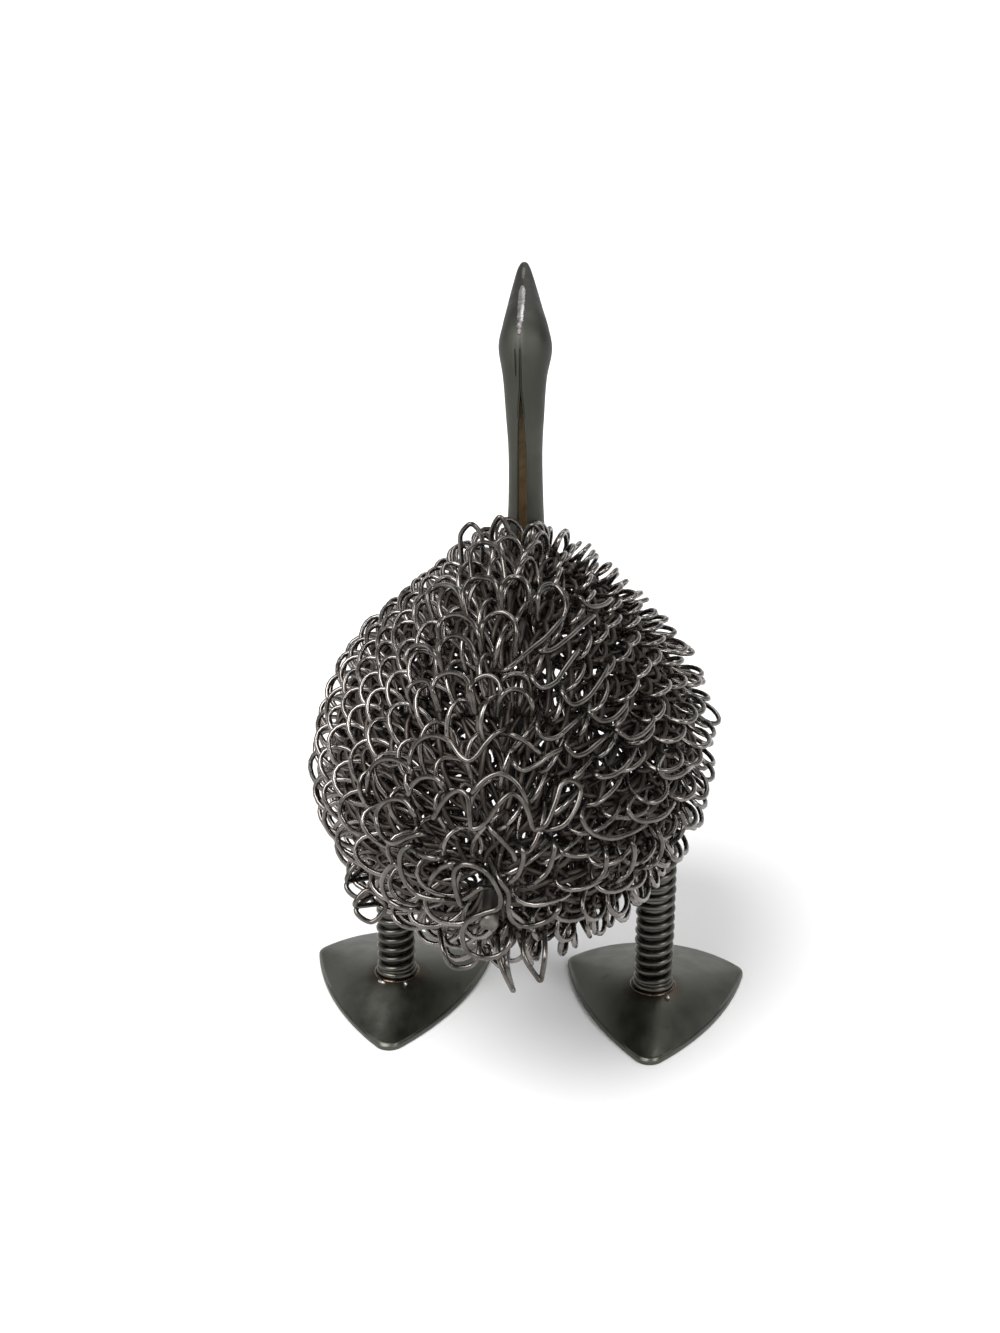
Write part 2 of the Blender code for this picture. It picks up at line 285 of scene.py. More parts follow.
PRESSED_FOOT = SteelFinish("pressed_foot", shade=(0.088, 0.090, 0.076),
                           tint=(0.114, 0.116, 0.099), stain=(0.072, 0.052, 0.034),
                           stain_share=0.2, patch=34.0, gloss=(0.34, 0.46),
                           relief=0.05 * MM, grain=520.0)
ROD_BAR = SteelFinish("rod_bar", shade=(0.070, 0.066, 0.062), tint=(0.125, 0.119, 0.110),
                      stain_share=0.3, patch=80.0, gloss=(0.38, 0.55), relief=0.05 * MM)
CUT_END = SteelFinish("cut_end", shade=(0.120, 0.112, 0.100), tint=(0.190, 0.178, 0.160),
                      stain_share=0.3, patch=300.0, gloss=(0.45, 0.60), relief=0.10 * MM,
                      grain=1100.0)
GROUND_WELD = SteelFinish("ground_weld", shade=(0.32, 0.315, 0.31), tint=(0.62, 0.61, 0.605),
                          stain=(0.090, 0.086, 0.084), stain_share=0.6, patch=360.0,
                          gloss=(0.32, 0.48), relief=0.16 * MM, grain=1100.0)
# Painted shadow: a near-black finish for the floors of the seam's grooves.
SEAM_PAINTED_SHADOW = SteelFinish("seam_painted_shadow", shade=(0.022, 0.021, 0.016), tint=(0.034, 0.032, 0.026),
                         stain_share=0.3, patch=90.0, gloss=(0.55, 0.70))
BURNT_WELD = SteelFinish("burnt_weld", shade=(0.070, 0.052, 0.040), tint=(0.130, 0.105, 0.084),
                         stain=(0.060, 0.034, 0.020), stain_share=0.5, patch=260.0,
                         gloss=(0.12, 0.26), relief=0.08 * MM, grain=900.0)


class FinishShelf:
    """Builds each finish once and hands it out."""

    def __init__(self) -> None:
        """Start with an empty shelf."""
        self._made: dict[str, Material] = {}

    def take(self, finish: SteelFinish) -> Material:
        """Hand out the material of a finish, made on first use.

        Args:
            finish: The finish.

        Returns:
            Its material.
        """
        if finish.name not in self._made:
            self._made[finish.name] = finish.build()
        return self._made[finish.name]


# Meshes

def in_scene(name: str, data: bpy.types.ID) -> bpy.types.Object:
    """Make an object of a mesh, light or camera, and put it in the scene.

    Args:
        name: Name of the object.
        data: The mesh, light or camera.

    Returns:
        The new object.
    """
    thing = bpy.data.objects.new(name, data)
    bpy.context.scene.collection.objects.link(thing)
    return thing


def piece_from(name: str, skin: Skin, finishes: Sequence[Material],
               slots: Sequence[int] | None = None) -> bpy.types.Object:
    """Make an object from points and faces, smooth shaded.

    Args:
        name: Name of the piece.
        skin: Its points, in the frame's metres, and its faces, as indices of points.
        finishes: Its materials.
        slots: Index of the material of each face, or None for the first.

    Returns:
        The new object, in the scene.
    """
    points, faces = skin
    mesh = bpy.data.meshes.new(name)
    mesh.from_pydata([tuple(p) for p in points], [], [tuple(f) for f in faces])
    for finish in finishes:
        mesh.materials.append(finish)
    if slots is not None:
        mesh.polygons.foreach_set("material_index", list(slots))
    mesh.shade_smooth()
    mesh.update()
    return in_scene(name, mesh)


def settle(piece: bpy.types.Object, slot: Slot, *nodes: str) -> None:
    """Fix a piece to the duck and hide the solids it stands for.

    Args:
        piece: The finished piece.
        slot: The record's slot that it takes its finish from; not used.
        nodes: Names of the CAD nodes that it replaces.
    """
    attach(piece, "root")
    if nodes:
        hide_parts(*nodes)
    LOG.info("%s: %d faces", piece.name, len(piece.data.polygons))


def smooth_path(points: Points, steps: int) -> Points:
    """Run a smooth curve through points.

    Args:
        points: Array of points, one to a row; a row may hold further values.
        steps: Number of steps between two points.

    Returns:
        The points of the curve, ends included.
    """
    padded = np.vstack((2 * points[0] - points[1], points, 2 * points[-1] - points[-2]))
    shares = np.linspace(0.0, 1.0, steps, endpoint=False)[:, None]
    runs = []
    for a, b, c, d in zip(padded, padded[1:], padded[2:], padded[3:]):
        runs.append(0.5 * (2 * b + (c - a) * shares + (2 * a - 5 * b + 4 * c - d) * shares ** 2
                           + (3 * b - a - 3 * c + d) * shares ** 3))
    return np.vstack(runs + [points[-1:]])


def tube_rings(path: Points, radii: Points, sides: int) -> Points:
    """Sweep circles along a path without twist.

    Args:
        path: Points of the centre line.
        radii: Radius at each point.
        sides: Points round each circle.

    Returns:
        Array of rings, each an array of points.
    """
    ahead = np.gradient(path, axis=0)
    ahead /= np.linalg.norm(ahead, axis=1)[:, None]
    seed = np.eye(3)[np.argmin(np.abs(ahead[0]))]
    across = np.cross(ahead[0], seed)
    frames = []
    for course in ahead:
        across = across - course * (across @ course)
        across = across / np.linalg.norm(across)
        frames.append((across, np.cross(course, across)))
    turns = np.arange(sides) * 2 * math.pi / sides
    first, second = np.array(frames)[:, :, None, :].transpose(1, 0, 2, 3)
    round_ = np.cos(turns)[None, :, None] * first + np.sin(turns)[None, :, None] * second
    return path[:, None, :] + round_ * radii[:, None, None]


def ring_skin(rings: Sequence[Points]) -> Skin:
    """Closed skin over stacked rings, both ends capped.

    Args:
        rings: Rings of equally many points.

    Returns:
        The points and the faces.
    """
    count, sides = len(rings), len(rings[0])
    faces = []
    for base in range(0, (count - 1) * sides, sides):
        for i in range(sides):
            j = (i + 1) % sides
            faces.append((base + i, base + j, base + sides + j, base + sides + i))
    faces.append(tuple(reversed(range(sides))))
    faces.append(tuple((count - 1) * sides + i for i in range(sides)))
    return np.vstack(rings), faces


def joined(skins: Iterable[Skin]) -> Skin:
    """Put skins side by side in one, their faces renumbered.

    Args:
        skins: The skins.

    Returns:
        One skin of them all.
    """
    points: list[Points] = []
    faces: list[tuple[int, ...]] = []
    start = 0
    for own_points, own_faces in skins:
        points.append(own_points)
        faces += [tuple(i + start for i in face) for face in own_faces]
        start += len(own_points)
    return np.vstack(points), faces


@dataclass(frozen=True)
class Wire:
    """Round wire that follows a path.

    Attributes:
        radius: Half of the wire's thickness.
        sides: Facets round the wire.
        end_chamfer: How far the cut ends are rounded off.
    """

    radius: float = 1.05 * MM
    sides: int = 8
    end_chamfer: float = 0.35 * MM

    def skin(self, *paths: Points) -> Skin:
        """Points and faces of one or more lengths of this wire.

        Args:
            paths: Centre line of each length.

        Returns:
            The skin of all lengths together.
        """
        skins = []
        for path in paths:
            ends = (path[0] - path[1], path[-1] - path[-2])
            ends = [end / np.linalg.norm(end) * self.end_chamfer for end in ends]
            path = np.vstack((path[:1] + ends[0], path, path[-1:] + ends[1]))
            radii = np.full(len(path), self.radius)
            radii[0] = radii[-1] = self.radius - self.end_chamfer
            skins.append(ring_skin(tube_rings(path, radii, self.sides)))
        return joined(skins)


# The photograph's view

def direction(azimuth: float, elevation: float) -> Vector:
    """Direction from the duck, turned from straight behind it towards its right.

    Args:
        azimuth: Turn about the vertical.
        elevation: Height above the level.

    Returns:
        The direction, one metre long.
    """
    level = math.cos(elevation)
    return Vector((level * math.sin(azimuth), -level * math.cos(azimuth), math.sin(elevation)))


@dataclass(frozen=True)
class View:
    """The camera behind and above the duck, and its picture of 1000 by 1333 pixels.

    Attributes:
        target: Point in the middle of the picture.
        azimuth: Turn of the camera from straight behind, towards the duck's right.
        elevation: Height of the camera above the level.
        distance: From the camera to the target.
        focal_px: Focal length, in pixels.
        width_px: Width of the picture.
        height_px: Height of the picture.
    """

    target: Vector
    azimuth: float = 5.5 * DEG
    elevation: float = 21.5 * DEG
    distance: float = 730.0 * MM
    focal_px: float = 1700.0
    width_px: float = 1000.0
    height_px: float = 1333.0

    @property
    def offset(self) -> Vector:
        """Way from the target to the camera."""
        return direction(self.azimuth, self.elevation) * self.distance

    @property
    def eye(self) -> Points:
        """Place of the camera."""
        return np.array(self.target + self.offset)

    def ray(self, x_px: float, y_px: float) -> Points:
        """Line of sight through a place in the picture.

        Args:
            x_px: Pixels from the picture's left edge.
            y_px: Pixels from its upper edge.

        Returns:
            The line's direction, one metre long.
        """
        ahead = -np.array(direction(self.azimuth, self.elevation))
        right = np.array((math.cos(self.azimuth), math.sin(self.azimuth), 0.0))
        ray = (ahead + right * (x_px - self.width_px / 2) / self.focal_px
               - np.cross(right, ahead) * (y_px - self.height_px / 2) / self.focal_px)
        return ray / np.linalg.norm(ray)


# Body

@dataclass(frozen=True)
class Egg:
    """The body's form: hoops about a long axis that drops to the tail.

    Attributes:
        middle: Centre of the body.
        tilt: Fall of the axis towards the tail.
        tail: Reach from the centre to the tail pole.
        breast: Reach from the centre to the breast pole.
        bluntness: Power of the sine that rounds the breast.
        radius: Half width of the widest hoop.
        shoulder: Share by which a hoop's upper corners are pulled in.
        belly: Share by which its lower corners are pulled in.
        long_share: Share by which the way along the axis counts less in a direction straight out.
        sight: Nearest and farthest point looked at on a line of sight, and the step between.
    """

    middle: Vector
    tilt: float = 9.0 * DEG
    tail: float = 112.0 * MM
    breast: float = 96.0 * MM
    bluntness: float = 0.55
    radius: float = 87.5 * MM
    shoulder: float = 0.135
    belly: float = 0.06
    long_share: float = 0.45
    sight: tuple[float, float, float] = (480.0 * MM, 800.0 * MM, 0.25 * MM)

    def section(self, angle: float, inset: float) -> tuple[Points, Points, Points]:
        """Point of the profile below the surface, as (along, out), with tangent and normal.

        Args:
            angle: Place on the profile, 0 at the tail pole and pi at the breast pole.
            inset: Depth below the surface.

        Returns:
            The point, the tangent towards the breast and the outward normal.
        """
        step = 1e-4
        tangent = self._surface(min(angle + step, math.pi)) - self._surface(max(angle - step, 0.0))
        tangent /= np.linalg.norm(tangent)
        normal = np.array((-tangent[1], tangent[0]))
        return self._surface(angle) - normal * inset, tangent, normal

    def _surface(self, angle: float) -> Points:
        """Point on the profile's surface.

        Args:
            angle: Place on the profile, 0 at the tail pole and pi at the breast pole.

        Returns:
            The point, as (along, out).
        """
        if angle < math.pi / 2:
            return np.array((-self.tail * math.cos(angle), self.radius * math.sin(angle)))
        out = self.radius * max(math.sin(angle), 0.0) ** self.bluntness
        return np.array((-self.breast * math.cos(angle), out))

    def place(self, along: Points, out: Points, around: Points) -> Points:
        """World points from places in the body's own terms.

        Args:
            along: Distance along the axis towards the breast.
            out: Distance out from the axis.
            around: Angle round the hoop, 0 at +X and a quarter turn at the back.

        Returns:
            The points, one to a row.
        """
        flatten = np.where(np.sin(around) > 0, self.shoulder, self.belly)
        reach = out * (1.0 - flatten * np.sin(2 * around) ** 2)
        x = reach * np.cos(around)
        rise = reach * np.sin(around)
        y = along * math.cos(self.tilt) - rise * math.sin(self.tilt)
        z = along * math.sin(self.tilt) + rise * math.cos(self.tilt)
        return np.stack((x, y, z), axis=-1) + np.array(self.middle)

    def row_angles(self, rows: int, inset: float, tail_hole: float,
                   breast_hole: float) -> list[float]:
        """Profile angles of evenly spaced rows.

        Args:
            rows: Number of rows.
            inset: Depth of the rows' centre lines below the surface.
            tail_hole: Length of profile left open at the tail.
            breast_hole: Length of profile left open at the breast.

        Returns:
            The angles, from the tail on.
        """
        steps = 600
        angles = [math.pi * (i + 0.5) / steps for i in range(steps)]
        points = np.array([self.section(a, inset)[0] for a in angles])
        lengths = np.concatenate(((0.0,), np.cumsum(np.linalg.norm(np.diff(points, axis=0),
                                                                   axis=1))))
        spacing = (lengths[-1] - breast_hole - tail_hole) / rows
        wanted = tail_hole + spacing * (np.arange(rows) + 0.5)
        return list(np.interp(wanted, lengths, angles))

    def holds(self, points: Points, depth: float) -> Points:
        """Which points lie inside the body, and deeper than a depth.

        Args:
            points: World points, one to a row.
            depth: Depth below the surface, less than 0 above it.

        Returns:
            True or False for each point.
        """
        x, y, z = (points - np.array(self.middle)).T
        along = y * math.cos(self.tilt) + z * math.sin(self.tilt)
        rise = z * math.cos(self.tilt) - y * math.sin(self.tilt)
        flatten = np.where(rise > 0, self.shoulder, self.belly)
        out = np.hypot(x, rise) / (1.0 - flatten * np.sin(2 * np.arctan2(rise, x)) ** 2)
        share = along / (np.where(along < 0, self.tail, self.breast) - depth)
        roundness = np.where(along < 0, 1.0, self.bluntness) / 2
        return out < (self.radius - depth) * np.maximum(1.0 - share ** 2, 0.0) ** roundness

    def sighted(self, view: View, x_px: float, y_px: float, depth: float) -> Points:
        """Point of the body that shows at a place in the picture.

        Args:
            view: The picture's view.
            x_px: Pixels from the picture's left edge.
            y_px: Pixels from its upper edge.
            depth: How deep below the surface the point lies, less than 0 above it.

        Returns:
            The point.
        """
        line = view.eye + np.outer(np.arange(*self.sight[:2], self.sight[2]),
                                   view.ray(x_px, y_px))
        return line[np.argmax(self.holds(line, depth))]

    def straight_out(self, point: Points) -> Points:
        """Direction out of the body at a point of it.

        Args:
            point: The point.

        Returns:
            The direction, one metre long.
        """
        axis = np.array((0.0, math.cos(self.tilt), math.sin(self.tilt)))
        away = point - np.array(self.middle)
        away -= axis * (away @ axis) * self.long_share
        return away / np.linalg.norm(away)


@dataclass(frozen=True)
class Winding:
    """How one wire of a row is wound.

    Attributes:
        inset: Depth of the winding's centre line below the body's surface.
        rise: Half height of a loop, outwards.
        spread: Half width of a loop, along the body, on the left and on the right.
        pitch: Distance from loop to loop.
        slant: Turn of the loops about the outward direction, on the left and on the right.
        lean: How far their outer halves lean on along the hoop, on the left and on the right.
        swell: Further slant and further lean of the loops left of the middle of the back.
        lift: How far their highest points lie towards the breast, on the left and on the
            right, as an angle on the loop.
        steps: Points to one loop.
        sides: Facets round the wire.
        uneven: How uneven the loops are.
    """

    inset: float
    rise: float
    spread: tuple[float, float]
    pitch: float
    slant: tuple[float, float]
    lean: tuple[float, float] = (-24.0 * DEG, 11.0 * DEG)
    swell: tuple[float, float] = (-20.0 * DEG, -14.0 * DEG)
    lift: tuple[float, float] = (36.0 * DEG, -24.0 * DEG)
    steps: int = 18
    sides: int = 8
    uneven: float = 1.0


OUTER_WIRE = Winding(inset=8.4 * MM, rise=7.3 * MM, spread=(7.6 * MM, 9.4 * MM), pitch=12.0 * MM,
                     slant=(34.0 * DEG, -4.0 * DEG))
MIDDLE_WIRE = Winding(inset=13.6 * MM, rise=3.4 * MM, spread=(7.6 * MM, 7.6 * MM), pitch=8.0 * MM,
                      slant=(20.0 * DEG, -20.0 * DEG), steps=12, sides=6, uneven=1.4)
INNER_WIRE = Winding(inset=15.2 * MM, rise=2.4 * MM, spread=(8.4 * MM, 8.4 * MM), pitch=5.4 * MM,
                     slant=(-15.0 * DEG, 25.0 * DEG), steps=11, sides=6, uneven=1.4)


@dataclass(frozen=True)
class Unevenness:
    """How much the loops of a row differ, each as a standard deviation.

    Attributes:
        slant: Of their slant.
        lean: Of their lean.
        size: Of their size, as a share.
        wander: Of their place across the row, in depth and along the row.
        most: Largest difference, in standard deviations.
        start: How far a wire's start may lie from the underside, as an angle.
    """

    slant: float = 8.0 * DEG
    lean: float = 6.0 * DEG
    size: float = 0.08
    wander: tuple[float, float, float] = (1.0 * MM, 0.5 * MM, 1.2 * MM)
    most: float = 2.2
    start: float = 0.1


@dataclass
class CoilRow:
    """One hoop of stretched coil, wound from several wires, each loop turned to overlap the next.

    Attributes:
        number: Row number, counted from the tail.
        egg: Form of the body that the row lies on.
        angle: Place of the row on the body's profile.
        keep_out: Upright oval that the wire stays clear of: centre x, centre y, half width,
            half depth and lowest z.
        windings: The wires of the row, the outermost first.
        uneven: How much its loops differ.
        looseness: How much less even its loops are than those of other rows.
        size: Size of its loops and of their pitch, as a share of the windings' own.
        fewest: Fewest loops of a wire.
        turnover: How sharply the slant changes from side to side at the back and the belly.
        swell_at: Where on the hoop the windings' swell is greatest.
        swell_reach: How far the swell reaches from there.
        crowding: Share by which the loops on the left stand closer than those on the right.
        sunk: How much deeper its upper side lies, below loose strands.
        settled: Share of a leaning loop's lost height by which the loop is set higher.
        narrowest: Least distance of the wire from the body's axis.
        parted: Share of the oval's reach inside which a wire is cut away.
        seed: Start of the rows' unevenness.
    """

    number: int
    egg: Egg
    angle: float
    keep_out: tuple[float, float, float, float, float]
    windings: tuple[Winding, ...] = (OUTER_WIRE, MIDDLE_WIRE, INNER_WIRE)
    uneven: Unevenness = Unevenness()
    looseness: float = 1.0
    size: float = 1.0
    fewest: int = 6
    turnover: float = 4.5
    swell_at: float = 114.0 * DEG
    swell_reach: float = 36.0 * DEG
    crowding: float = 0.08
    sunk: float = 0.0
    settled: float = 0.7
    narrowest: float = 0.6 * MM
    parted: float = 0.72
    seed: int = 100

    def path(self, winding: Winding, rng: np.random.Generator) -> Points:
        """Centre line of one wire, a full hoop that starts at the underside.

        Args:
            winding: How the wire is wound.
            rng: Source of its unevenness.

        Returns:
            The points of the centre line.
        """
        centre, tangent, normal = self.egg.section(self.angle, winding.inset)
        radius = centre[1]
        loops = max(self.fewest, round(2 * math.pi * radius / (winding.pitch * self.size)))
        theta = np.linspace(0.0, loops, loops * winding.steps + 1)
        knots = np.arange(loops + 1)
        loose = winding.uneven * self.looseness
        most = self.uneven.most

        def varied(size: float) -> Points:
            """A value for each point that differs from loop to loop."""
            draws = rng.normal(0.0, size * loose, loops + 1)
            return np.interp(theta, knots, draws.clip(-most * size, most * size))

        turn = theta * 2 * math.pi + rng.uniform(0.0, 2 * math.pi)
        course = theta / loops * 2 * math.pi
        course += self.crowding * (np.cos(course) - 1.0)
        middle = rng.uniform(-self.uneven.start, self.uneven.start) - math.pi / 2 - course
        right_share = 0.5 + 0.5 * np.tanh(self.turnover * np.cos(middle))

        def sided(sides: tuple[float, float], size: float) -> Points:
            """A varied value that turns from the left side's to the right side's."""
            left, right = sides
            return left + (right - left) * right_share + varied(size)

        from_swell = np.angle(np.exp(1j * (middle - self.swell_at))) / self.swell_reach
        slant = sided(winding.slant, self.uneven.slant)
        swell = np.exp(-from_swell ** 2)
        slant += winding.swell[0] * swell
        lean = sided(winding.lean, self.uneven.lean) + winding.swell[1] * swell
        gain = 1.0 + varied(self.uneven.size)

        aside, up, on = self.uneven.wander
        across = sided(winding.spread, 0.0) * self.size * gain * np.sin(turn)
        height = winding.rise * gain * np.cos(turn - sided(winding.lift, 0.0))
        wide = across * np.cos(slant) + varied(aside)
        deep = height * np.cos(lean) + varied(up)
        deep += winding.rise * (1.0 - np.cos(lean)) * self.settled
        deep -= self.sunk * np.clip(0.5 + np.sin(middle), 0.0, 1.0)
        advance = across * np.sin(slant) + height * np.sin(lean) + varied(on)

        along = centre[0] + tangent[0] * wide + normal[0] * deep
        out = centre[1] + tangent[1] * wide + normal[1] * deep
        around = middle - advance / np.maximum(out, 0.6 * radius)
        return self.egg.place(along, np.maximum(out, self.narrowest), around)

    def lengths(self, path: Points, clearance: float) -> list[Points]:
        """Part a wire where the neck stands in its way, and push it clear beside it.

        Args:
            path: Centre line of the wire.
            clearance: Least distance from the wire's centre to the neck.

        Returns:
            The centre line of each length.
        """
        x, y, half_width, half_depth, lowest = self.keep_out
        oval = np.array((half_width + clearance, half_depth + clearance))
        offset = (path[:, :2] - (x, y)) / oval
        reach = np.linalg.norm(offset, axis=1)
        high = path[:, 2] > lowest
        blocked = high & (reach < self.parted)
        near = high & (reach < 1.0) & ~blocked
        path[near, :2] = (x, y) + offset[near] / reach[near][:, None] * oval
        runs = np.split(np.arange(len(path)), np.flatnonzero(np.diff(blocked.astype(int))) + 1)
        return [path[run] for run in runs if not blocked[run[0]] and len(run) > self.fewest]

    def build(self, outer: Material, inner: Material) -> None:
        """Make the row and put it in place of its solid.

        Args:
            outer: Material of the outermost wire.
            inner: Material of the wires behind it, a darker copy of the wire finish that paints in the
                shade inside the body.
        """
        rng = np.random.default_rng(self.seed + self.number)
        skins: list[Skin] = []
        slots: list[int] = []
        for order, winding in enumerate(self.windings):
            wire = Wire(sides=winding.sides)
            skins.append(wire.skin(*self.lengths(self.path(winding, rng), wire.radius)))
            # The outer wire takes the outer finish; the wires behind it take the darker copy, which is
            # painted shade.
            slots += [min(order, 1)] * len(skins[-1][1])
        piece = piece_from("coil_row_%02d" % self.number, joined(skins), [outer, inner], slots)
        settle(piece, Slot.WIRE, "feather_coil_%02d" % self.number)


@dataclass
class Plumage:
    """All coil rows of the body.

    Attributes:
        egg: Form of the body.
        keep_out: Oval of the neck, as in CoilRow.
        rows: Number of rows.
        inset: Depth of the rows' centre lines below the body's surface.
        tail_hole: Length of profile left open at the tail.
        breast_hole: Length of profile left open at the breast.
        loose_rows: Rows at the tail whose loops are less even.
        loose_factor: How much less even they are.
        sunk: How much deeper the upper sides of rows lie, from the tail on.
        sizes: Size of the loops at the tail and at the breast, as in CoilRow.
    """

    egg: Egg
    keep_out: tuple[float, float, float, float, float]
    rows: int = 17
    inset: float = 9.0 * MM
    tail_hole: float = 11.0 * MM
    breast_hole: float = 4.0 * MM
    loose_rows: int = 5
    loose_factor: float = 1.6
    sunk: tuple[float, ...] = (2.5 * MM, 3.5 * MM, 3.5 * MM, 2.5 * MM, 1.0 * MM)
    sizes: tuple[float, float] = (1.25, 0.88)

    def build(self, outer: Material, inner: Material) -> None:
        """Make every row.

        Args:
            outer: Material of the outermost wire of each row.
            inner: Material of the wires behind it, a darker copy of the wire finish that paints in the
                shade inside the body.
        """
        angles = self.egg.row_angles(self.rows, self.inset, self.tail_hole, self.breast_hole)
        sizes = np.linspace(*self.sizes, self.rows)
        for number, (angle, size) in enumerate(zip(angles, sizes), start=1):
            looseness = self.loose_factor if number <= self.loose_rows else 1.0
            sunk = self.sunk[number - 1] if number <= len(self.sunk) else 0.0
            CoilRow(number, self.egg, angle, self.keep_out, looseness=looseness, size=size,
                    sunk=sunk).build(outer, inner)


# Backbone rod

@dataclass
class BackboneRod:
    """Round bar from inside the neck to the tail.

    Attributes:
        x: Place of the bar, across.
        shift: Distance from the route's Y values to the frame's.
        radius: Half of its thickness.
        chamfer: Size of the broken edge at the cut end.
        sides: Facets round the bar.
        route: Its course as (y, z) in millimetres, from the neck to the tail.
    """

    x: float
    shift: float
    radius: float = 3.5 * MM
    chamfer: float = 0.4 * MM
    sides: int = 28
    route: tuple[tuple[float, float], ...] = (
        (52.0, 198.0), (51.8, 176.0), (49.0, 156.0), (40.0, 142.0), (22.0, 135.5),
        (-8.0, 133.5), (-36.0, 131.0), (-64.0, 126.0), (-92.0, 118.3), (-120.0, 108.0))

    def build(self, finish: Material, cut: Material) -> None:
        """Make the bar and put it in place of its solid.

        Args:
            finish: Material of the bar.
            cut: Material of its cut end.
        """
        path = smooth_path(np.array([(self.x, y * MM + self.shift, z * MM)
                                     for y, z in self.route]), 6)
        reach = path[-1] - path[-2]
        path[-1] -= reach / np.linalg.norm(reach) * self.chamfer
        skin = Wire(self.radius, self.sides, self.chamfer).skin(path)
        slots = [0] * (len(skin[1]) - 1) + [1]
        piece = piece_from("backbone_bar", skin, [finish, cut], slots)
        piece.data.set_sharp_from_angle(angle=50.0 * DEG)
        settle(piece, Slot.ROD, "backbone_rod")


# Neck and head

@dataclass
class NeckAndHead:
    """Sheet formed to a tube that is open down the nape, closed at the crown, with a beak.

    Attributes:
        shift: Distance from the stations' places to the frame's.
        sheet: Thickness of the sheet.
        stations: Along the sheet, in millimetres: place of the section's middle, its half
            width and half depth, its lean in degrees, and half of the opening at the nape.
        thinnest: Largest share of a narrow section's half width that the sheet takes up.
        gap_share: Largest half opening, as a share of the half width.
        round_steps: Points on the outside of a section, closest at the seam.
        gathering: How much closer they stand at the seam, from 0 to under 0.16.
        lip_steps: Points round each edge of the sheet.
        lip_bulge: How far those edges stand out, as a share of half the thickness.
        run_steps: Sections between two stations.
        seam_turn: Turn of the seam round the neck, from the middle of the nape.
        closed: Half of the opening where the seam is closed to a line, in millimetres.
        seam_run: Stations between which the closed seam shows as a groove.
        seam_reach: Half of the groove's width, as a turn.
        lap_turn: Turn from the seam to the fine groove of the lap beside it.
        lap_run: Stations between which that groove runs.
        lap_reach: Half of its width, as a turn.
        groove_depth: Depth of both grooves.
        groove_floor: Share of that depth from which their floor is painted near black, a painted
            shadow.
        crest: Height of the seam along the crown.
        crest_run: Stations between which the crest runs.
        crest_fade: Number of stations over which it fades out.
        crest_reach: Half of its width, as a turn.
        beak_rounding: Length of the rounded tip.
        beak_steps: Places of the tip's sections along that length.
        beak_aside: How far the tip points aside.
        beak_end: Least part of the width that the tip keeps, squared.
    """

    shift: Points
    sheet: float = 1.4 * MM
    thinnest: float = 0.62
    gap_share: float = 0.9
    round_steps: int = 120
    gathering: float = 0.14
    lip_steps: int = 3
    lip_bulge: float = 0.6
    run_steps: int = 9
    seam_turn: float = -0.13
    closed: float = 0.12
    seam_run: tuple[float, float] = (3.7, 5.75)
    seam_reach: float = 0.05
    lap_turn: float = -0.21
    lap_run: tuple[float, float] = (4.9, 5.7)
    lap_reach: float = 0.035
    groove_depth: float = 0.45 * MM
    groove_floor: float = 0.35
    crest: float = 0.5 * MM
    crest_run: tuple[float, float] = (5.4, 11.0)
    crest_fade: float = 4.0
    crest_reach: float = 0.22
    beak_rounding: float = 1.8 * MM
    beak_steps: tuple[float, ...] = (0.45, 0.8, 1.0)
    beak_aside: float = -0.02
    beak_end: float = 0.02
    stations: tuple[tuple[float, ...], ...] = (
        (-0.5, 49.0, 170.0, 8.8, 8.4, 0.0, 2.6),
        (-0.5, 49.5, 204.0, 8.7, 8.4, 1.0, 2.6),
        (-0.6, 50.5, 224.0, 7.8, 8.2, 2.0, 2.6),
        (-1.0, 51.5, 246.0, 7.5, 8.2, 3.0, 2.4),
        (-1.4, 52.7, 264.0, 8.5, 8.6, 6.0, 1.4),
        (-1.7, 54.6, 278.5, 9.6, 9.8, 16.0, -0.1),
        (-1.9, 58.6, 290.3, 11.7, 11.6, 40.0, 0.0),
        (-2.5, 66.5, 297.0, 10.3, 11.0, 60.0, 0.0),
        (-3.9, 80.0, 302.4, 8.3, 8.6, 68.0, 0.0),
        (-5.5, 97.0, 309.0, 5.9, 5.6, 68.0, 0.0),
        (-6.9, 112.0, 315.0, 3.5, 3.4, 68.0, 0.0),
        (-7.3, 117.0, 317.0, 2.3, 2.3, 68.0, 0.0))

    def section(self, station: Points, place: float) -> Points:
        """Closed ring of points: round the outside, over one lip, back inside, over the other.

        Args:
            station: Values of the section, as in the stations.
            place: Number of the section's place among the stations.

        Returns:
            The ring's points.
        """
        half_width, half_depth = station[3:5] * MM
        opening = max(station[6], self.closed) * MM
        thick = min(self.sheet, self.thinnest * min(half_width, half_depth))
        turns = self.turns(math.asin(min(opening / half_width, self.gap_share)))
        outside = self.skin(station, place, turns)
        inside = self.skin(station, place, turns, thick)[::-1]
        side = np.array((1.0, 0.0, 0.0))
        shares = np.linspace(0.0, math.pi, self.lip_steps + 2)[1:-1]

        def lip(here: Points, there: Points, sign: float) -> Points:
            """Points over one edge of the sheet.

            Args:
                here: Last point before the edge.
                there: First point after it.
                sign: Side on which the edge stands out, 1 or -1.

            Returns:
                The points.
            """
            bulge = side * sign * thick / 2
            return np.array([(here + there) / 2 + (here - there) / 2 * math.cos(s)
                             + bulge * math.sin(s) * self.lip_bulge for s in shares])

        return np.vstack((outside, lip(outside[-1], inside[0], 1.0), inside,
                          lip(inside[-1], outside[0], -1.0)))

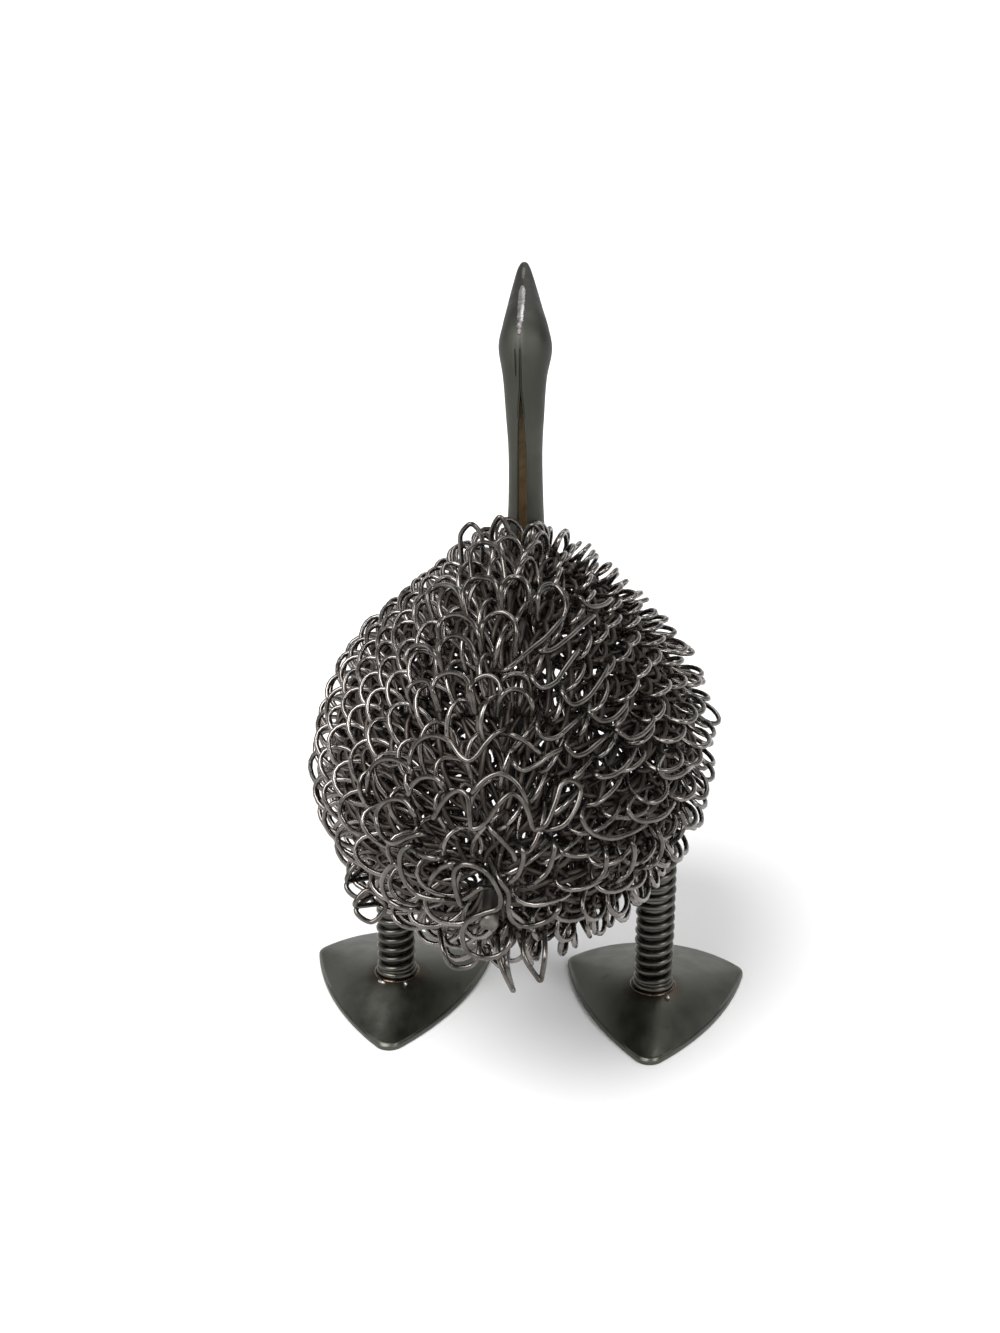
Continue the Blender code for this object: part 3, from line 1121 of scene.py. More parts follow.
    def turns(self, start: float) -> Points:
        """Turns of a section's points from its seam, closest together beside the seam.

        Args:
            start: Turn of the first point.

        Returns:
            The turns.
        """
        run = np.linspace(0.0, 1.0, self.round_steps)
        run -= self.gathering * np.sin(2 * math.pi * run)
        return start + (2 * math.pi - 2 * start) * run

    def skin(self, station: Points, place: float, turns: Points, depth: float = 0.0) -> Points:
        """Points of a section at some turns from its seam.

        Args:
            station: Values of the section, as in the stations.
            place: Number of the section's place among the stations.
            turns: Turns from the seam, from 0 to a full turn.
            depth: Depth below the outside.

        Returns:
            The points.
        """
        x, y, z, half_width, half_depth = station[:5] * MM
        lean = math.radians(station[5])
        forward = np.array((0.0, math.cos(lean), -math.sin(lean)))
        proud = np.full(len(turns), -depth)
        if depth == 0.0:
            from_seam = np.minimum(turns, 2 * math.pi - turns)
            first, last = self.crest_run
            rise = float(np.clip(place - first, 0.0, 1.0))
            rise *= self.crest * float(np.clip((last - place) / self.crest_fade, 0.0, 1.0))
            proud = rise * np.exp(-(from_seam / self.crest_reach) ** 2)
            proud -= self.groove_depth * self.groove(turns, place)
        spun = turns + self.seam_turn
        return (np.array((x, y, z)) + self.shift
                + np.outer((half_width + proud) * np.sin(spun), (1.0, 0.0, 0.0))
                - np.outer((half_depth + proud) * np.cos(spun), forward))

    def build(self, outer: Material, inner: Material, groove: Material) -> None:
        """Make the sheet and put it in place of its solid.

        Args:
            outer: Material of the outside.
            inner: Material of the inside.
            groove: Material of the grooves' floor, a painted shadow.
        """
        values = smooth_path(np.array(self.stations), self.run_steps)
        places = np.linspace(0.0, len(self.stations) - 1.0, len(values))
        rings = [self.section(station, place) for station, place in zip(values, places)]
        tip = values[-1]
        lean = math.radians(tip[5])
        ahead = np.array((self.beak_aside, math.sin(lean), math.cos(lean)))
        for share in self.beak_steps:
            end = tip.copy()
            end[:3] += ahead * share * self.beak_rounding / MM
            shrink = math.sqrt(max(1.0 - share ** 2, self.beak_end))
            end[3:5] *= shrink
            end[6] *= shrink
            rings.append(self.section(end, places[-1]))
        sides = len(rings[0])
        inner_from = self.round_steps + self.lip_steps
        inner_to = inner_from + self.round_steps - 1
        ring_slots = np.zeros((len(rings) - 1, sides), dtype=int)
        ring_slots[:, inner_from:inner_to] = 1
        turns = self.turns(0.0)
        between = (turns[1:] + turns[:-1]) / 2
        # Faces deep in a groove take the near-black groove finish, which is painted shadow.
        for ring, place in enumerate(places[:-1]):
            sunk = self.groove(between, place) > self.groove_floor
            ring_slots[ring, :len(between)][sunk] = 2
        slots = ring_slots.ravel().tolist() + [0, 0]
        piece = piece_from("neck_and_head_sheet", ring_skin(rings), [outer, inner, groove],
                           slots)
        piece.data.set_sharp_from_angle(angle=48.0 * DEG)
        settle(piece, Slot.SHEET, "neck_and_head")

    def groove(self, turns: Points, place: float) -> Points:
        """Share of the full depth that the seam's groove and the lap's groove have.

        Args:
            turns: Turns from the seam, from 0 to a full turn.
            place: Number of the section's place among the stations.

        Returns:
            The share at each turn, from 0 to 1.
        """
        share = np.zeros(len(turns))
        for run, turn, reach in ((self.seam_run, 0.0, self.seam_reach),
                                 (self.lap_run, self.lap_turn, self.lap_reach)):
            first, last = run
            along = float(np.clip((place - first) / (last - first), 0.0, 1.0))
            away = np.angle(np.exp(1j * (turns - turn))) / reach
            share += math.sqrt(math.sin(math.pi * along)) * np.exp(-away ** 2)
        return share

    def weld(self, name: str, run: tuple[float, float], width: tuple[float, float],
             offset: tuple[float, float], finish: Material) -> None:
        """Lay a ground bead of weld along the crown, uneven at its edges.

        Args:
            name: Name of the piece.
            run: Stations between which it lies.
            width: Its half width at both ends.
            offset: Distance of its middle from the seam at both ends.
            finish: Its material.
        """
        rng = np.random.default_rng(31)
        long_steps, wide_steps = 90, 12
        thickness, crown, bedding = 0.5 * MM, 0.16 * MM, 0.03 * MM
        ragged_by, pit, bump = 0.22, 0.07, 0.04
        full_from, full_to, start_share, end_share = 0.12, 0.9, 0.5, 0.4
        values = smooth_path(np.array(self.stations), self.run_steps)
        places = np.linspace(0.0, len(self.stations) - 1.0, len(values))
        points: list[Points] = []
        for share in np.linspace(0.0, 1.0, long_steps + 1):
            place = run[0] + (run[1] - run[0]) * share
            station = np.array([np.interp(place, places, column) for column in values.T])
            ragged = 1.0 + rng.uniform(-ragged_by, ragged_by)
            half = np.interp(share, (0.0, full_from, full_to, 1.0),
                             (width[0] * start_share, *width, width[1] * end_share)) * ragged
            middle = offset[0] + (offset[1] - offset[0]) * share
            spread = np.linspace(-1.0, 1.0, wide_steps + 1)
            turns = ((middle + half * spread) / (station[3] * MM)) % (2 * math.pi)
            skin = self.skin(station, place, turns)
            height = crown * (1.0 - spread ** 2) ** 0.5 - bedding
            height += rng.uniform(-pit, bump, wide_steps + 1) * MM
            lean = math.radians(station[5])
            points.append(skin + np.outer(height, (0.0, -math.cos(lean), math.sin(lean))))
        row = wide_steps + 1
        faces = [(i * row + j, i * row + j + 1, (i + 1) * row + j + 1, (i + 1) * row + j)
                 for i in range(long_steps) for j in range(wide_steps)]
        bead = piece_from(name, (np.vstack(points), faces), [finish])
        body = bead.modifiers.new("thickness", "SOLIDIFY")
        body.thickness = thickness
        body.offset = -1.0
        settle(bead, Slot.SHEET)


# Loose strands

# Traced one by one: pixels from the picture's left and upper edges, then the point's Y in the
# duck's own millimetres.
TRACED_STRANDS: dict[str, Course] = {
    "tail_wave": (
        (440.1, 812.6, -104.0), (434.0, 818.3, -111.7), (437.7, 810.6, -111.4), (447.5, 796.9, -111.1),
        (458.3, 790.6, -111.4), (467.3, 796.8, -113.4), (469.7, 815.2, -115.8), (472.1, 828.4, -117.0),
        (484.4, 823.8, -117.0), (499.6, 802.9, -114.7), (512.0, 793.8, -112.6), (522.8, 801.4, -112.8),
        (529.0, 815.2, -113.7), (533.6, 829.0, -114.5), (545.7, 824.4, -112.1), (555.0, 803.0, -107.9),
        (561.2, 784.6, -103.8), (570.3, 780.5, -101.0), (580.2, 787.6, -100.1), (576.4, 806.1, -104.1),
        (564.1, 824.5, -109.2), (546.5, 829.8, -110.0), (538.0, 825.2, -103.0)),
    "tail_arch": (
        (468.9, 794.7, -104.0), (472.1, 793.1, -112.6), (484.3, 780.0, -111.4), (499.7, 773.7, -110.1),
        (515.0, 781.4, -110.5), (524.4, 796.8, -111.8), (526.3, 811.8, -111.0), (519.5, 810.1, -103.0)),
    "tail_bar": (
        (480.8, 810.8, -109.0), (490.5, 828.6, -117.5), (499.7, 838.3, -118.5), (512.1, 852.0, -118.6),
        (515.1, 860.3, -118.0), (512.5, 861.1, -110.0)),
    "tail_curl": (
        (468.5, 896.2, -108.0), (461.4, 904.9, -117.5), (454.7, 885.2, -118.5), (455.0, 870.6, -118.7),
        (465.2, 864.3, -119.2), (483.0, 870.0, -120.0), (494.5, 882.8, -120.1), (500.8, 897.9, -119.5),
        (497.9, 908.2, -119.2), (483.8, 913.3, -119.5), (469.3, 919.9, -119.6), (462.4, 932.9, -120.0),
        (466.4, 949.7, -119.5), (481.2, 957.5, -119.0), (498.8, 955.2, -118.0), (509.8, 942.5, -116.0),
        (510.1, 921.2, -108.0)),
    "tail_sweep": (
        (488.7, 857.7, -110.0), (499.4, 879.5, -119.6), (508.1, 893.6, -119.2), (508.0, 909.7, -118.2),
        (514.6, 922.5, -115.9), (528.7, 926.1, -113.9), (546.4, 920.8, -112.6), (558.1, 910.0, -112.6),
        (558.1, 893.0, -104.0)),
    "tail_hoop_low": (
        (439.1, 928.0, -97.0), (443.0, 950.1, -105.1), (451.9, 966.2, -107.1), (470.0, 966.1, -106.4),
        (477.9, 955.0, -104.5), (479.6, 932.2, -97.0)),
    "tail_pin_left": (
        (497.4, 935.1, -107.0), (499.9, 962.0, -115.8), (511.1, 987.2, -119.0), (513.3, 990.2, -119.3),
        (511.7, 985.9, -118.4), (506.9, 964.1, -115.9), (507.7, 937.9, -107.0)),
    "tail_pin_right": (
        (524.1, 928.9, -103.0), (523.8, 955.1, -112.4), (537.0, 977.0, -115.0), (540.0, 980.1, -115.3),
        (541.7, 976.7, -114.6), (544.8, 955.9, -111.7), (544.8, 929.9, -103.0)),
    "side_hoop_high": (
        (368.8, 878.0, -72.0), (346.9, 880.1, -79.9), (360.0, 861.9, -76.7), (372.8, 880.1, -78.9),
        (360.0, 898.0, -82.0), (346.3, 885.4, -79.0), (364.1, 867.8, -71.0)),
    "side_hoop_low": (
        (376.2, 904.2, -79.0), (354.9, 905.1, -86.5), (368.0, 890.1, -83.8), (385.8, 905.1, -85.3),
        (371.9, 922.0, -88.3), (356.0, 909.8, -86.0), (376.3, 892.1, -78.0)),
    "back_hoop_left": (
        (462.2, 566.4, 2.0), (460.9, 548.0, 2.0), (461.0, 534.1, 2.0), (470.9, 524.0, 2.0),
        (480.9, 534.0, 2.0), (482.0, 547.9, 2.0), (481.1, 566.9, 2.0)),
    "back_hoop_middle": (
        (492.4, 565.9, 10.0), (491.0, 546.1, 10.0), (491.9, 530.0, 10.0), (499.9, 517.0, 10.0),
        (507.9, 530.0, 10.0), (510.0, 545.9, 10.0), (508.8, 566.4, 10.0)),
    "back_hoop_right": (
        (522.5, 561.7, 20.0), (523.0, 545.1, 20.0), (525.9, 532.0, 20.0), (532.9, 525.0, 20.0),
        (539.9, 531.9, 20.0), (541.8, 545.0, 20.0), (541.2, 562.3, 20.0)),
}

# Loops at the tail: pixels again, then millimetres below the plumage's surface.
TAIL_LOOPS: tuple[Course, ...] = (
    ((368.4, 794.7, 8.0), (367.8, 783.2, 0.0), (370.7, 769.5, -1.0), (380.1, 760.6, -1.0),
     (393.0, 759.1, -1.0), (405.1, 764.3, -1.0), (412.0, 772.3, 0.0), (414.3, 781.8, 7.0)),
    ((415.4, 781.8, 9.0), (409.7, 763.7, -0.5), (413.7, 747.4, -1.0), (424.0, 737.9, -1.0),
     (437.5, 735.9, -1.0), (450.4, 742.5, -1.0), (459.6, 755.1, -1.0), (468.2, 760.8, -1.0),
     (476.3, 756.0, -1.0), (484.9, 744.5, -1.0), (494.9, 733.9, -1.0), (503.5, 729.8, 1.0),
     (510.7, 724.4, 7.0)),
    ((497.8, 734.4, 7.0), (510.1, 734.4, 0.0), (523.6, 740.2, -1.0), (535.1, 749.4, -1.0),
     (542.9, 757.4, 2.0), (546.3, 763.7, 8.0)),
    ((509.6, 750.2, 7.0), (514.2, 763.7, -0.5), (523.6, 770.3, -1.0), (536.5, 764.6, -1.0),
     (548.0, 756.0, -1.0), (561.8, 748.8, 0.0), (576.7, 743.0, 6.0)),
    ((411.7, 807.6, 8.0), (409.1, 795.3, -0.5), (412.6, 785.5, -1.0), (421.7, 778.1, -1.0),
     (433.2, 777.5, -1.0), (443.3, 784.4, 0.0), (449.0, 794.7, 7.0)),
    ((390.2, 844.9, 7.0), (379.3, 830.6, -0.5), (376.4, 815.4, -1.0), (382.4, 803.9, -1.0),
     (394.5, 799.0, -1.0), (406.2, 802.2, -1.0), (414.3, 814.2, 0.0), (418.9, 827.7, 7.0)),
    ((421.7, 844.9, 7.0), (408.8, 845.8, -0.5), (401.1, 853.5, -1.0), (400.2, 867.0, -1.0),
     (405.1, 881.4, -1.0), (416.6, 893.7, -1.0), (430.4, 898.6, -1.0), (443.3, 899.5, 0.0),
     (450.4, 898.0, 6.0)),
    ((408.8, 872.2, 7.0), (396.5, 863.9, -0.5), (386.2, 871.6, -1.0), (382.1, 884.2, -1.0),
     (386.7, 898.0, -1.0), (399.4, 906.9, -1.0), (414.6, 909.5, 0.0), (423.2, 906.1, 7.0)),
    ((427.5, 892.3, 7.0), (431.8, 878.5, -0.5), (440.4, 868.2, -1.0), (453.3, 863.6, -0.5),
     (466.2, 865.9, 6.0)),
    ((585.9, 800.4, 7.0), (581.3, 814.2, -0.5), (585.3, 826.3, -1.0), (595.4, 834.9, -1.0),
     (611.2, 838.3, -1.0), (626.9, 834.3, -1.0), (640.4, 827.7, 1.0), (649.9, 822.0, 8.0)),
    ((634.1, 796.1, 7.0), (627.8, 807.3, -0.5), (632.4, 817.1, -1.0), (642.7, 821.1, -1.0),
     (657.1, 819.1, -1.0), (668.0, 811.9, 0.0), (673.7, 803.3, 7.0)),
    ((649.9, 822.0, 7.0), (658.2, 832.0, -0.5), (662.0, 845.8, -1.0), (657.1, 859.3, -1.0),
     (647.0, 867.0, -0.5), (634.1, 866.5, 6.0)),
    ((622.6, 833.5, 7.0), (632.4, 843.5, -0.5), (634.1, 857.8, -1.0), (628.4, 872.2, -1.0),
     (619.2, 879.7, -0.5), (608.3, 884.2, 6.0)),
    ((600.3, 840.6, 7.0), (606.0, 855.0, -0.5), (605.1, 868.8, -1.0), (599.1, 877.9, -0.5),
     (587.1, 883.7, 6.0)),
    ((546.3, 834.9, 7.0), (554.3, 845.2, -0.5), (552.3, 858.4, -1.0), (546.6, 872.2, -1.0),
     (536.5, 881.4, -0.5), (527.4, 886.0, 6.0)),
    ((515.0, 840.6, 7.0), (522.2, 849.2, -0.5), (522.8, 861.3, -1.0), (517.9, 874.5, -1.0),
     (509.6, 882.0, -0.5), (502.1, 884.8, 6.0)),
    ((553.2, 839.2, 7.0), (561.8, 852.1, -0.5), (576.7, 855.8, -1.0), (591.6, 853.5, -0.5),
     (604.3, 845.8, 6.0)),
    ((589.9, 764.6, 7.0), (596.8, 775.8, -0.5), (609.7, 776.3, -1.0), (622.6, 769.2, -1.0),
     (630.1, 759.7, -0.5), (635.8, 748.8, 7.0)),
    ((540.0, 712.9, 7.0), (536.5, 726.4, -0.5), (543.4, 737.9, -1.0), (556.6, 737.3, -1.0),
     (568.1, 727.6, -1.0), (580.7, 716.6, 3.0), (591.1, 708.6, 9.0)),
    ((570.4, 730.1, 7.0), (565.5, 743.6, -0.5), (573.9, 755.1, -1.0), (585.3, 753.1, -1.0),
     (598.5, 742.5, -1.0), (609.4, 733.3, 3.0), (619.8, 725.8, 9.0)),
    ((663.4, 756.0, 7.0), (658.2, 766.6, -0.5), (663.4, 776.3, -1.0), (675.7, 776.9, -1.0),
     (688.6, 768.9, 0.0), (698.7, 758.8, 7.0)),
    ((668.0, 810.5, 7.0), (680.0, 813.4, -0.5), (683.8, 823.4, -1.0), (680.6, 834.3, -0.5),
     (670.9, 843.5, 6.0)),
    ((381.0, 834.9, 7.0), (393.0, 843.5, -0.5), (407.4, 837.8, -1.0), (420.3, 834.3, -0.5),
     (433.2, 837.2, 6.0)),
    ((408.5, 846.9, 6.0), (421.7, 855.0, -0.5), (437.5, 858.7, -0.5), (449.0, 856.4, 6.0)),
    ((453.3, 883.7, 7.0), (460.5, 872.2, 1.0), (456.8, 883.7, 0.0), (460.5, 898.0, 0.0),
     (470.5, 895.2, -1.0), (480.6, 888.0, -1.0), (493.5, 888.0, 6.0)),
)

# Loops on the back, as those at the tail, but their ends go straight into the body.
BACK_LOOPS: tuple[Course, ...] = (
    ((432.1, 704.6, 7.0), (432.7, 689.3, -0.5), (438.2, 677.0, -0.5), (452.1, 672.4, -0.5),
     (465.9, 678.5, -0.5), (472.0, 692.3, -0.5), (473.6, 707.7, 7.0)),
    ((472.0, 707.7, 7.0), (469.6, 692.3, -0.5), (475.7, 680.0, -0.5), (487.4, 675.4, -0.5),
     (498.2, 681.6, -0.5), (501.2, 695.4, 1.0), (499.7, 707.7, 8.0)),
    ((439.8, 670.8, 7.0), (438.9, 652.4, -0.5), (445.9, 638.6, -0.5), (458.2, 635.8, -0.5),
     (469.6, 643.2, -0.5), (475.7, 658.5, -0.5), (476.7, 670.8, 7.0)),
    ((436.7, 643.2, 7.0), (438.2, 627.8, -0.5), (445.9, 617.1, -0.5), (459.8, 614.9, -0.5),
     (472.0, 621.7, -0.5), (478.2, 634.0, 0.0), (479.7, 646.2, 7.0)),
    ((479.7, 643.2, 7.0), (481.9, 627.8, -0.5), (490.5, 615.5, -0.5), (502.8, 612.5, -0.5),
     (513.5, 620.1, -0.5), (516.6, 634.0, 1.0), (515.1, 646.2, 8.0)),
    ((407.5, 667.8, 7.0), (406.0, 658.5, -0.5), (412.1, 647.8, -0.5), (424.4, 645.6, -0.5),
     (435.2, 653.9, -0.5), (439.8, 667.8, 7.0)),
    ((406.0, 704.6, 7.0), (407.5, 692.3, -0.5), (415.2, 682.5, -0.5), (427.5, 681.6, -0.5),
     (433.6, 692.3, 0.0), (435.2, 704.6, 7.0)),
    ((527.3, 661.6, 7.0), (531.0, 677.0, -0.5), (541.2, 687.7, -0.5), (555.0, 682.5, -0.5),
     (564.2, 669.3, -0.5), (576.5, 652.4, 0.0), (587.3, 637.0, 7.0)),
    ((559.6, 675.4, 7.0), (561.8, 692.3, -0.5), (571.9, 704.6, -0.5), (585.7, 699.1, -0.5),
     (596.5, 686.2, -0.5), (607.2, 667.8, 1.0), (613.4, 655.5, 8.0)),
    ((587.3, 698.5, 7.0), (589.4, 712.3, -0.5), (599.5, 720.9, -0.5), (613.4, 718.4, -0.5),
     (625.7, 704.6, 0.0), (634.9, 689.3, 7.0)),
    ((614.0, 720.0, 7.0), (617.1, 730.7, -0.5), (628.7, 738.4, -0.5), (642.5, 733.8, -0.5),
     (653.3, 720.0, 0.0), (657.9, 707.7, 7.0)),
    ((535.0, 637.0, 7.0), (539.6, 650.9, -0.5), (551.9, 649.9, -0.5), (567.3, 638.6, -0.5),
     (581.1, 626.3, -0.5), (593.4, 616.1, 0.0), (598.0, 612.5, 7.0)),
    ((496.6, 661.6, 7.0), (504.3, 670.8, -0.5), (515.1, 663.1, -0.5), (528.9, 650.9, -0.5),
     (545.8, 637.0, -0.5), (561.1, 620.1, 0.0), (566.7, 614.0, 7.0)),
    ((575.9, 588.5, 7.0), (579.0, 597.7, -0.5), (590.3, 606.9, -0.5), (604.1, 604.8, -0.5),
     (610.9, 599.6, 0.0), (613.4, 597.7, 7.0)),
    ((496.6, 710.8, 7.0), (501.2, 696.9, -0.5), (512.0, 689.3, -0.5), (524.3, 692.3, -0.5),
     (532.0, 704.6, 0.0), (533.5, 716.9, 7.0)),
    ((498.2, 692.3, 8.0), (502.8, 680.0, 0.0), (515.1, 673.9, -0.5), (527.3, 678.5, 0.0),
     (533.5, 692.3, 8.0)),
    ((539.6, 609.4, 7.0), (538.1, 597.1, -0.5), (542.7, 586.3, -0.5), (553.5, 584.8, -0.5),
     (562.7, 594.0, -0.5), (565.7, 609.4, 1.0), (561.1, 621.7, 8.0)),
    ((464.4, 609.4, 7.0), (462.8, 594.0, -0.5), (470.5, 580.2, -0.5), (484.3, 578.0, -0.5),
     (496.6, 584.8, -0.5), (499.7, 600.2, 7.0)),
    ((501.2, 600.2, 7.0), (501.2, 587.9, -0.5), (508.9, 578.0, -0.5), (519.7, 578.0, -0.5),
     (528.9, 587.9, -0.5), (532.0, 603.2, 7.0)),
    ((427.5, 609.4, 7.0), (427.5, 597.1, -0.5), (435.2, 587.3, -0.5), (449.0, 585.4, -0.5),
     (459.8, 594.0, -0.5), (462.8, 609.4, 7.0)),
    ((468.4, 569.4, 7.0), (470.5, 554.1, -0.5), (479.7, 543.3, -0.5), (492.0, 544.3, -0.5),
     (501.2, 554.1, -0.5), (505.2, 569.4, 7.0)),
)


class Depth(Enum):
    """What the third number of a strand's point says."""

    ALONG = "its Y, in the duck's own millimetres"
    BEHIND = "millimetres below the surface that the line of sight meets"
    BELOW = "the same near the surface, and deeper down millimetres straight into the body"


@dataclass(frozen=True)
class Strand:
    """A length of wire that has sprung out of its row.

    Attributes:
        name: Name of the piece.
        depth: What the third number of its points says.
        points: Its course, both ends in among the rows.
    """

    name: str
    depth: Depth
    points: Course


@dataclass
class LooseStrands:
    """Bent lengths of wire at the tail, at the side and on the back that lie over the rows.

    Attributes:
        view: View of the picture in which the strands were traced.
        egg: Form of the body.
        shift_y: Distance from the duck's own Y values to the frame's.
        steps: Steps of a strand's curve between two points.
        near: Millimetres below the surface down to which the line of sight is followed on the
            back.
    """

    view: View
    egg: Egg
    shift_y: float
    steps: int = 9
    near: float = 1.0

    def strands(self) -> Iterator[Strand]:
        """Every strand, in the order in which they are made."""
        for name, points in TRACED_STRANDS.items():
            yield Strand(name, Depth.ALONG, points)
        for number, points in enumerate(TAIL_LOOPS, start=1):
            yield Strand("tail_loop_%02d" % number, Depth.BEHIND, points)
        for number, points in enumerate(BACK_LOOPS, start=1):
            yield Strand("back_loop_%02d" % number, Depth.BELOW, points)

    def place(self, point: tuple[float, float, float], depth: Depth) -> Points:
        """Place of a strand's point in the frame.

        Args:
            point: Its two pixel values and its third number.
            depth: What the third number says.

        Returns:
            The place.
        """
        x_px, y_px, third = point
        if depth is Depth.ALONG:
            ray = self.view.ray(x_px, y_px)
            way = third * MM + self.shift_y - self.view.eye[1]
            return self.view.eye + ray * way / ray[1]
        if depth is Depth.BEHIND:
            return self.egg.sighted(self.view, x_px, y_px, third * MM)
        seen = self.egg.sighted(self.view, x_px, y_px, min(third, self.near) * MM)
        return seen - self.egg.straight_out(seen) * max(third - self.near, 0.0) * MM

    def build(self, finish: Material) -> None:
        """Make every strand.

        Args:
            finish: Material of the wire, a darker copy of the wound wire that paints in shade.
        """
        wire = Wire(sides=10)
        for strand in self.strands():
            course = np.array([self.place(point, strand.depth) for point in strand.points])
            skin = wire.skin(smooth_path(course, self.steps))
            settle(piece_from(strand.name, skin, [finish]), Slot.WIRE)


# Legs and feet

@dataclass
class Leg:
    """Leg wound from a pair of wires laid side by side.

    Attributes:
        side: Which leg.
        radius: Outer radius of the winding.
        pitch: Rise of one turn of the pair.
        proud: Radius of the thicker wire of the pair.
        sunk: Radius of the thinner wire.
        flare: How far the lowest turn spreads.
        flare_rise: Share of a turn over which it comes in again.
        recess: Share of the wires' difference by which the thinner one lies further in.
        waves: Size of two waves that make the winding uneven, and their pace.
        core_inset: Distance of the core's surface below the winding's, in radii of the
            thicker wire.
        core_ends: Distance from the leg's lower and upper end to the core's.
        cut: Size of the broken edges at the wires' ends.
        steps: Points to one turn.
    """

    side: Side
    radius: float = 8.8 * MM
    pitch: float = 4.75 * MM
    proud: float = 1.45 * MM
    sunk: float = 0.94 * MM
    flare: float = 0.5 * MM
    flare_rise: float = 0.6
    recess: float = 0.6
    waves: tuple[tuple[float, float], ...] = ((0.12 * MM, 0.37), (0.08 * MM, 1.31))
    core_inset: float = 1.35
    core_ends: tuple[float, float] = (0.2 * MM, 1.0 * MM)
    cut: float = 0.3 * MM
    steps: int = 36

    def build(self, finish: Material) -> None:
        """Wind the leg and put it in place of its solid.

        Args:
            finish: Material of the wire.
        """
        low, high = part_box("leg_" + self.side.word)
        x, y = leg_centre(self.side)
        core = self.radius - self.core_inset * self.proud
        path = np.array([(x, y, low.z + self.core_ends[0]), (x, y, high.z - self.core_ends[1])])
        skin = joined((self._winding(x, y, low.z, high.z, self.proud, 0.0),
                       self._winding(x, y, low.z, high.z, self.sunk, math.pi),
                       Wire(core, 24, self.cut).skin(path)))
        piece = piece_from("leg_winding_" + self.side.word, skin, [finish])
        piece.data.set_sharp_from_angle(angle=60.0 * DEG)
        settle(piece, Slot.WIRE, "leg_" + self.side.word)

    def _winding(self, x: float, y: float, bottom: float, top: float, wire: float,
                 phase: float) -> Skin:
        """One wire of the pair.

        Args:
            x: Middle of the leg, across.
            y: Middle of the leg, along.
            bottom: Height of its lower end.
            top: Height of its upper end.
            wire: Radius of the wire.
            phase: Where on the first turn it starts.

        Returns:
            Points and faces of the wire.
        """
        bottom += wire
        turns = (top - wire - bottom) / self.pitch + 1.0
        theta = np.linspace(0.0, turns * 2 * math.pi, int(turns * self.steps))
        height = bottom + np.maximum(theta / (2 * math.pi) - 1.0, 0.0) * self.pitch
        offset = phase / (2 * math.pi) * self.pitch
        height = np.minimum(height + offset, top)
        spread = self.flare * np.exp(-(height - bottom) / (self.flare_rise * self.pitch))
        (wide, slow), (small, quick) = self.waves
        wobble = wide * np.sin(theta * slow + phase) + small * np.sin(theta * quick)
        reach = self.radius - wire + spread + wobble - (self.proud - wire) * self.recess
        path = np.stack((x + reach * np.cos(theta + phase), y + reach * np.sin(theta + phase),
                         height), axis=-1)
        return Wire(wire, 10, self.cut).skin(path)


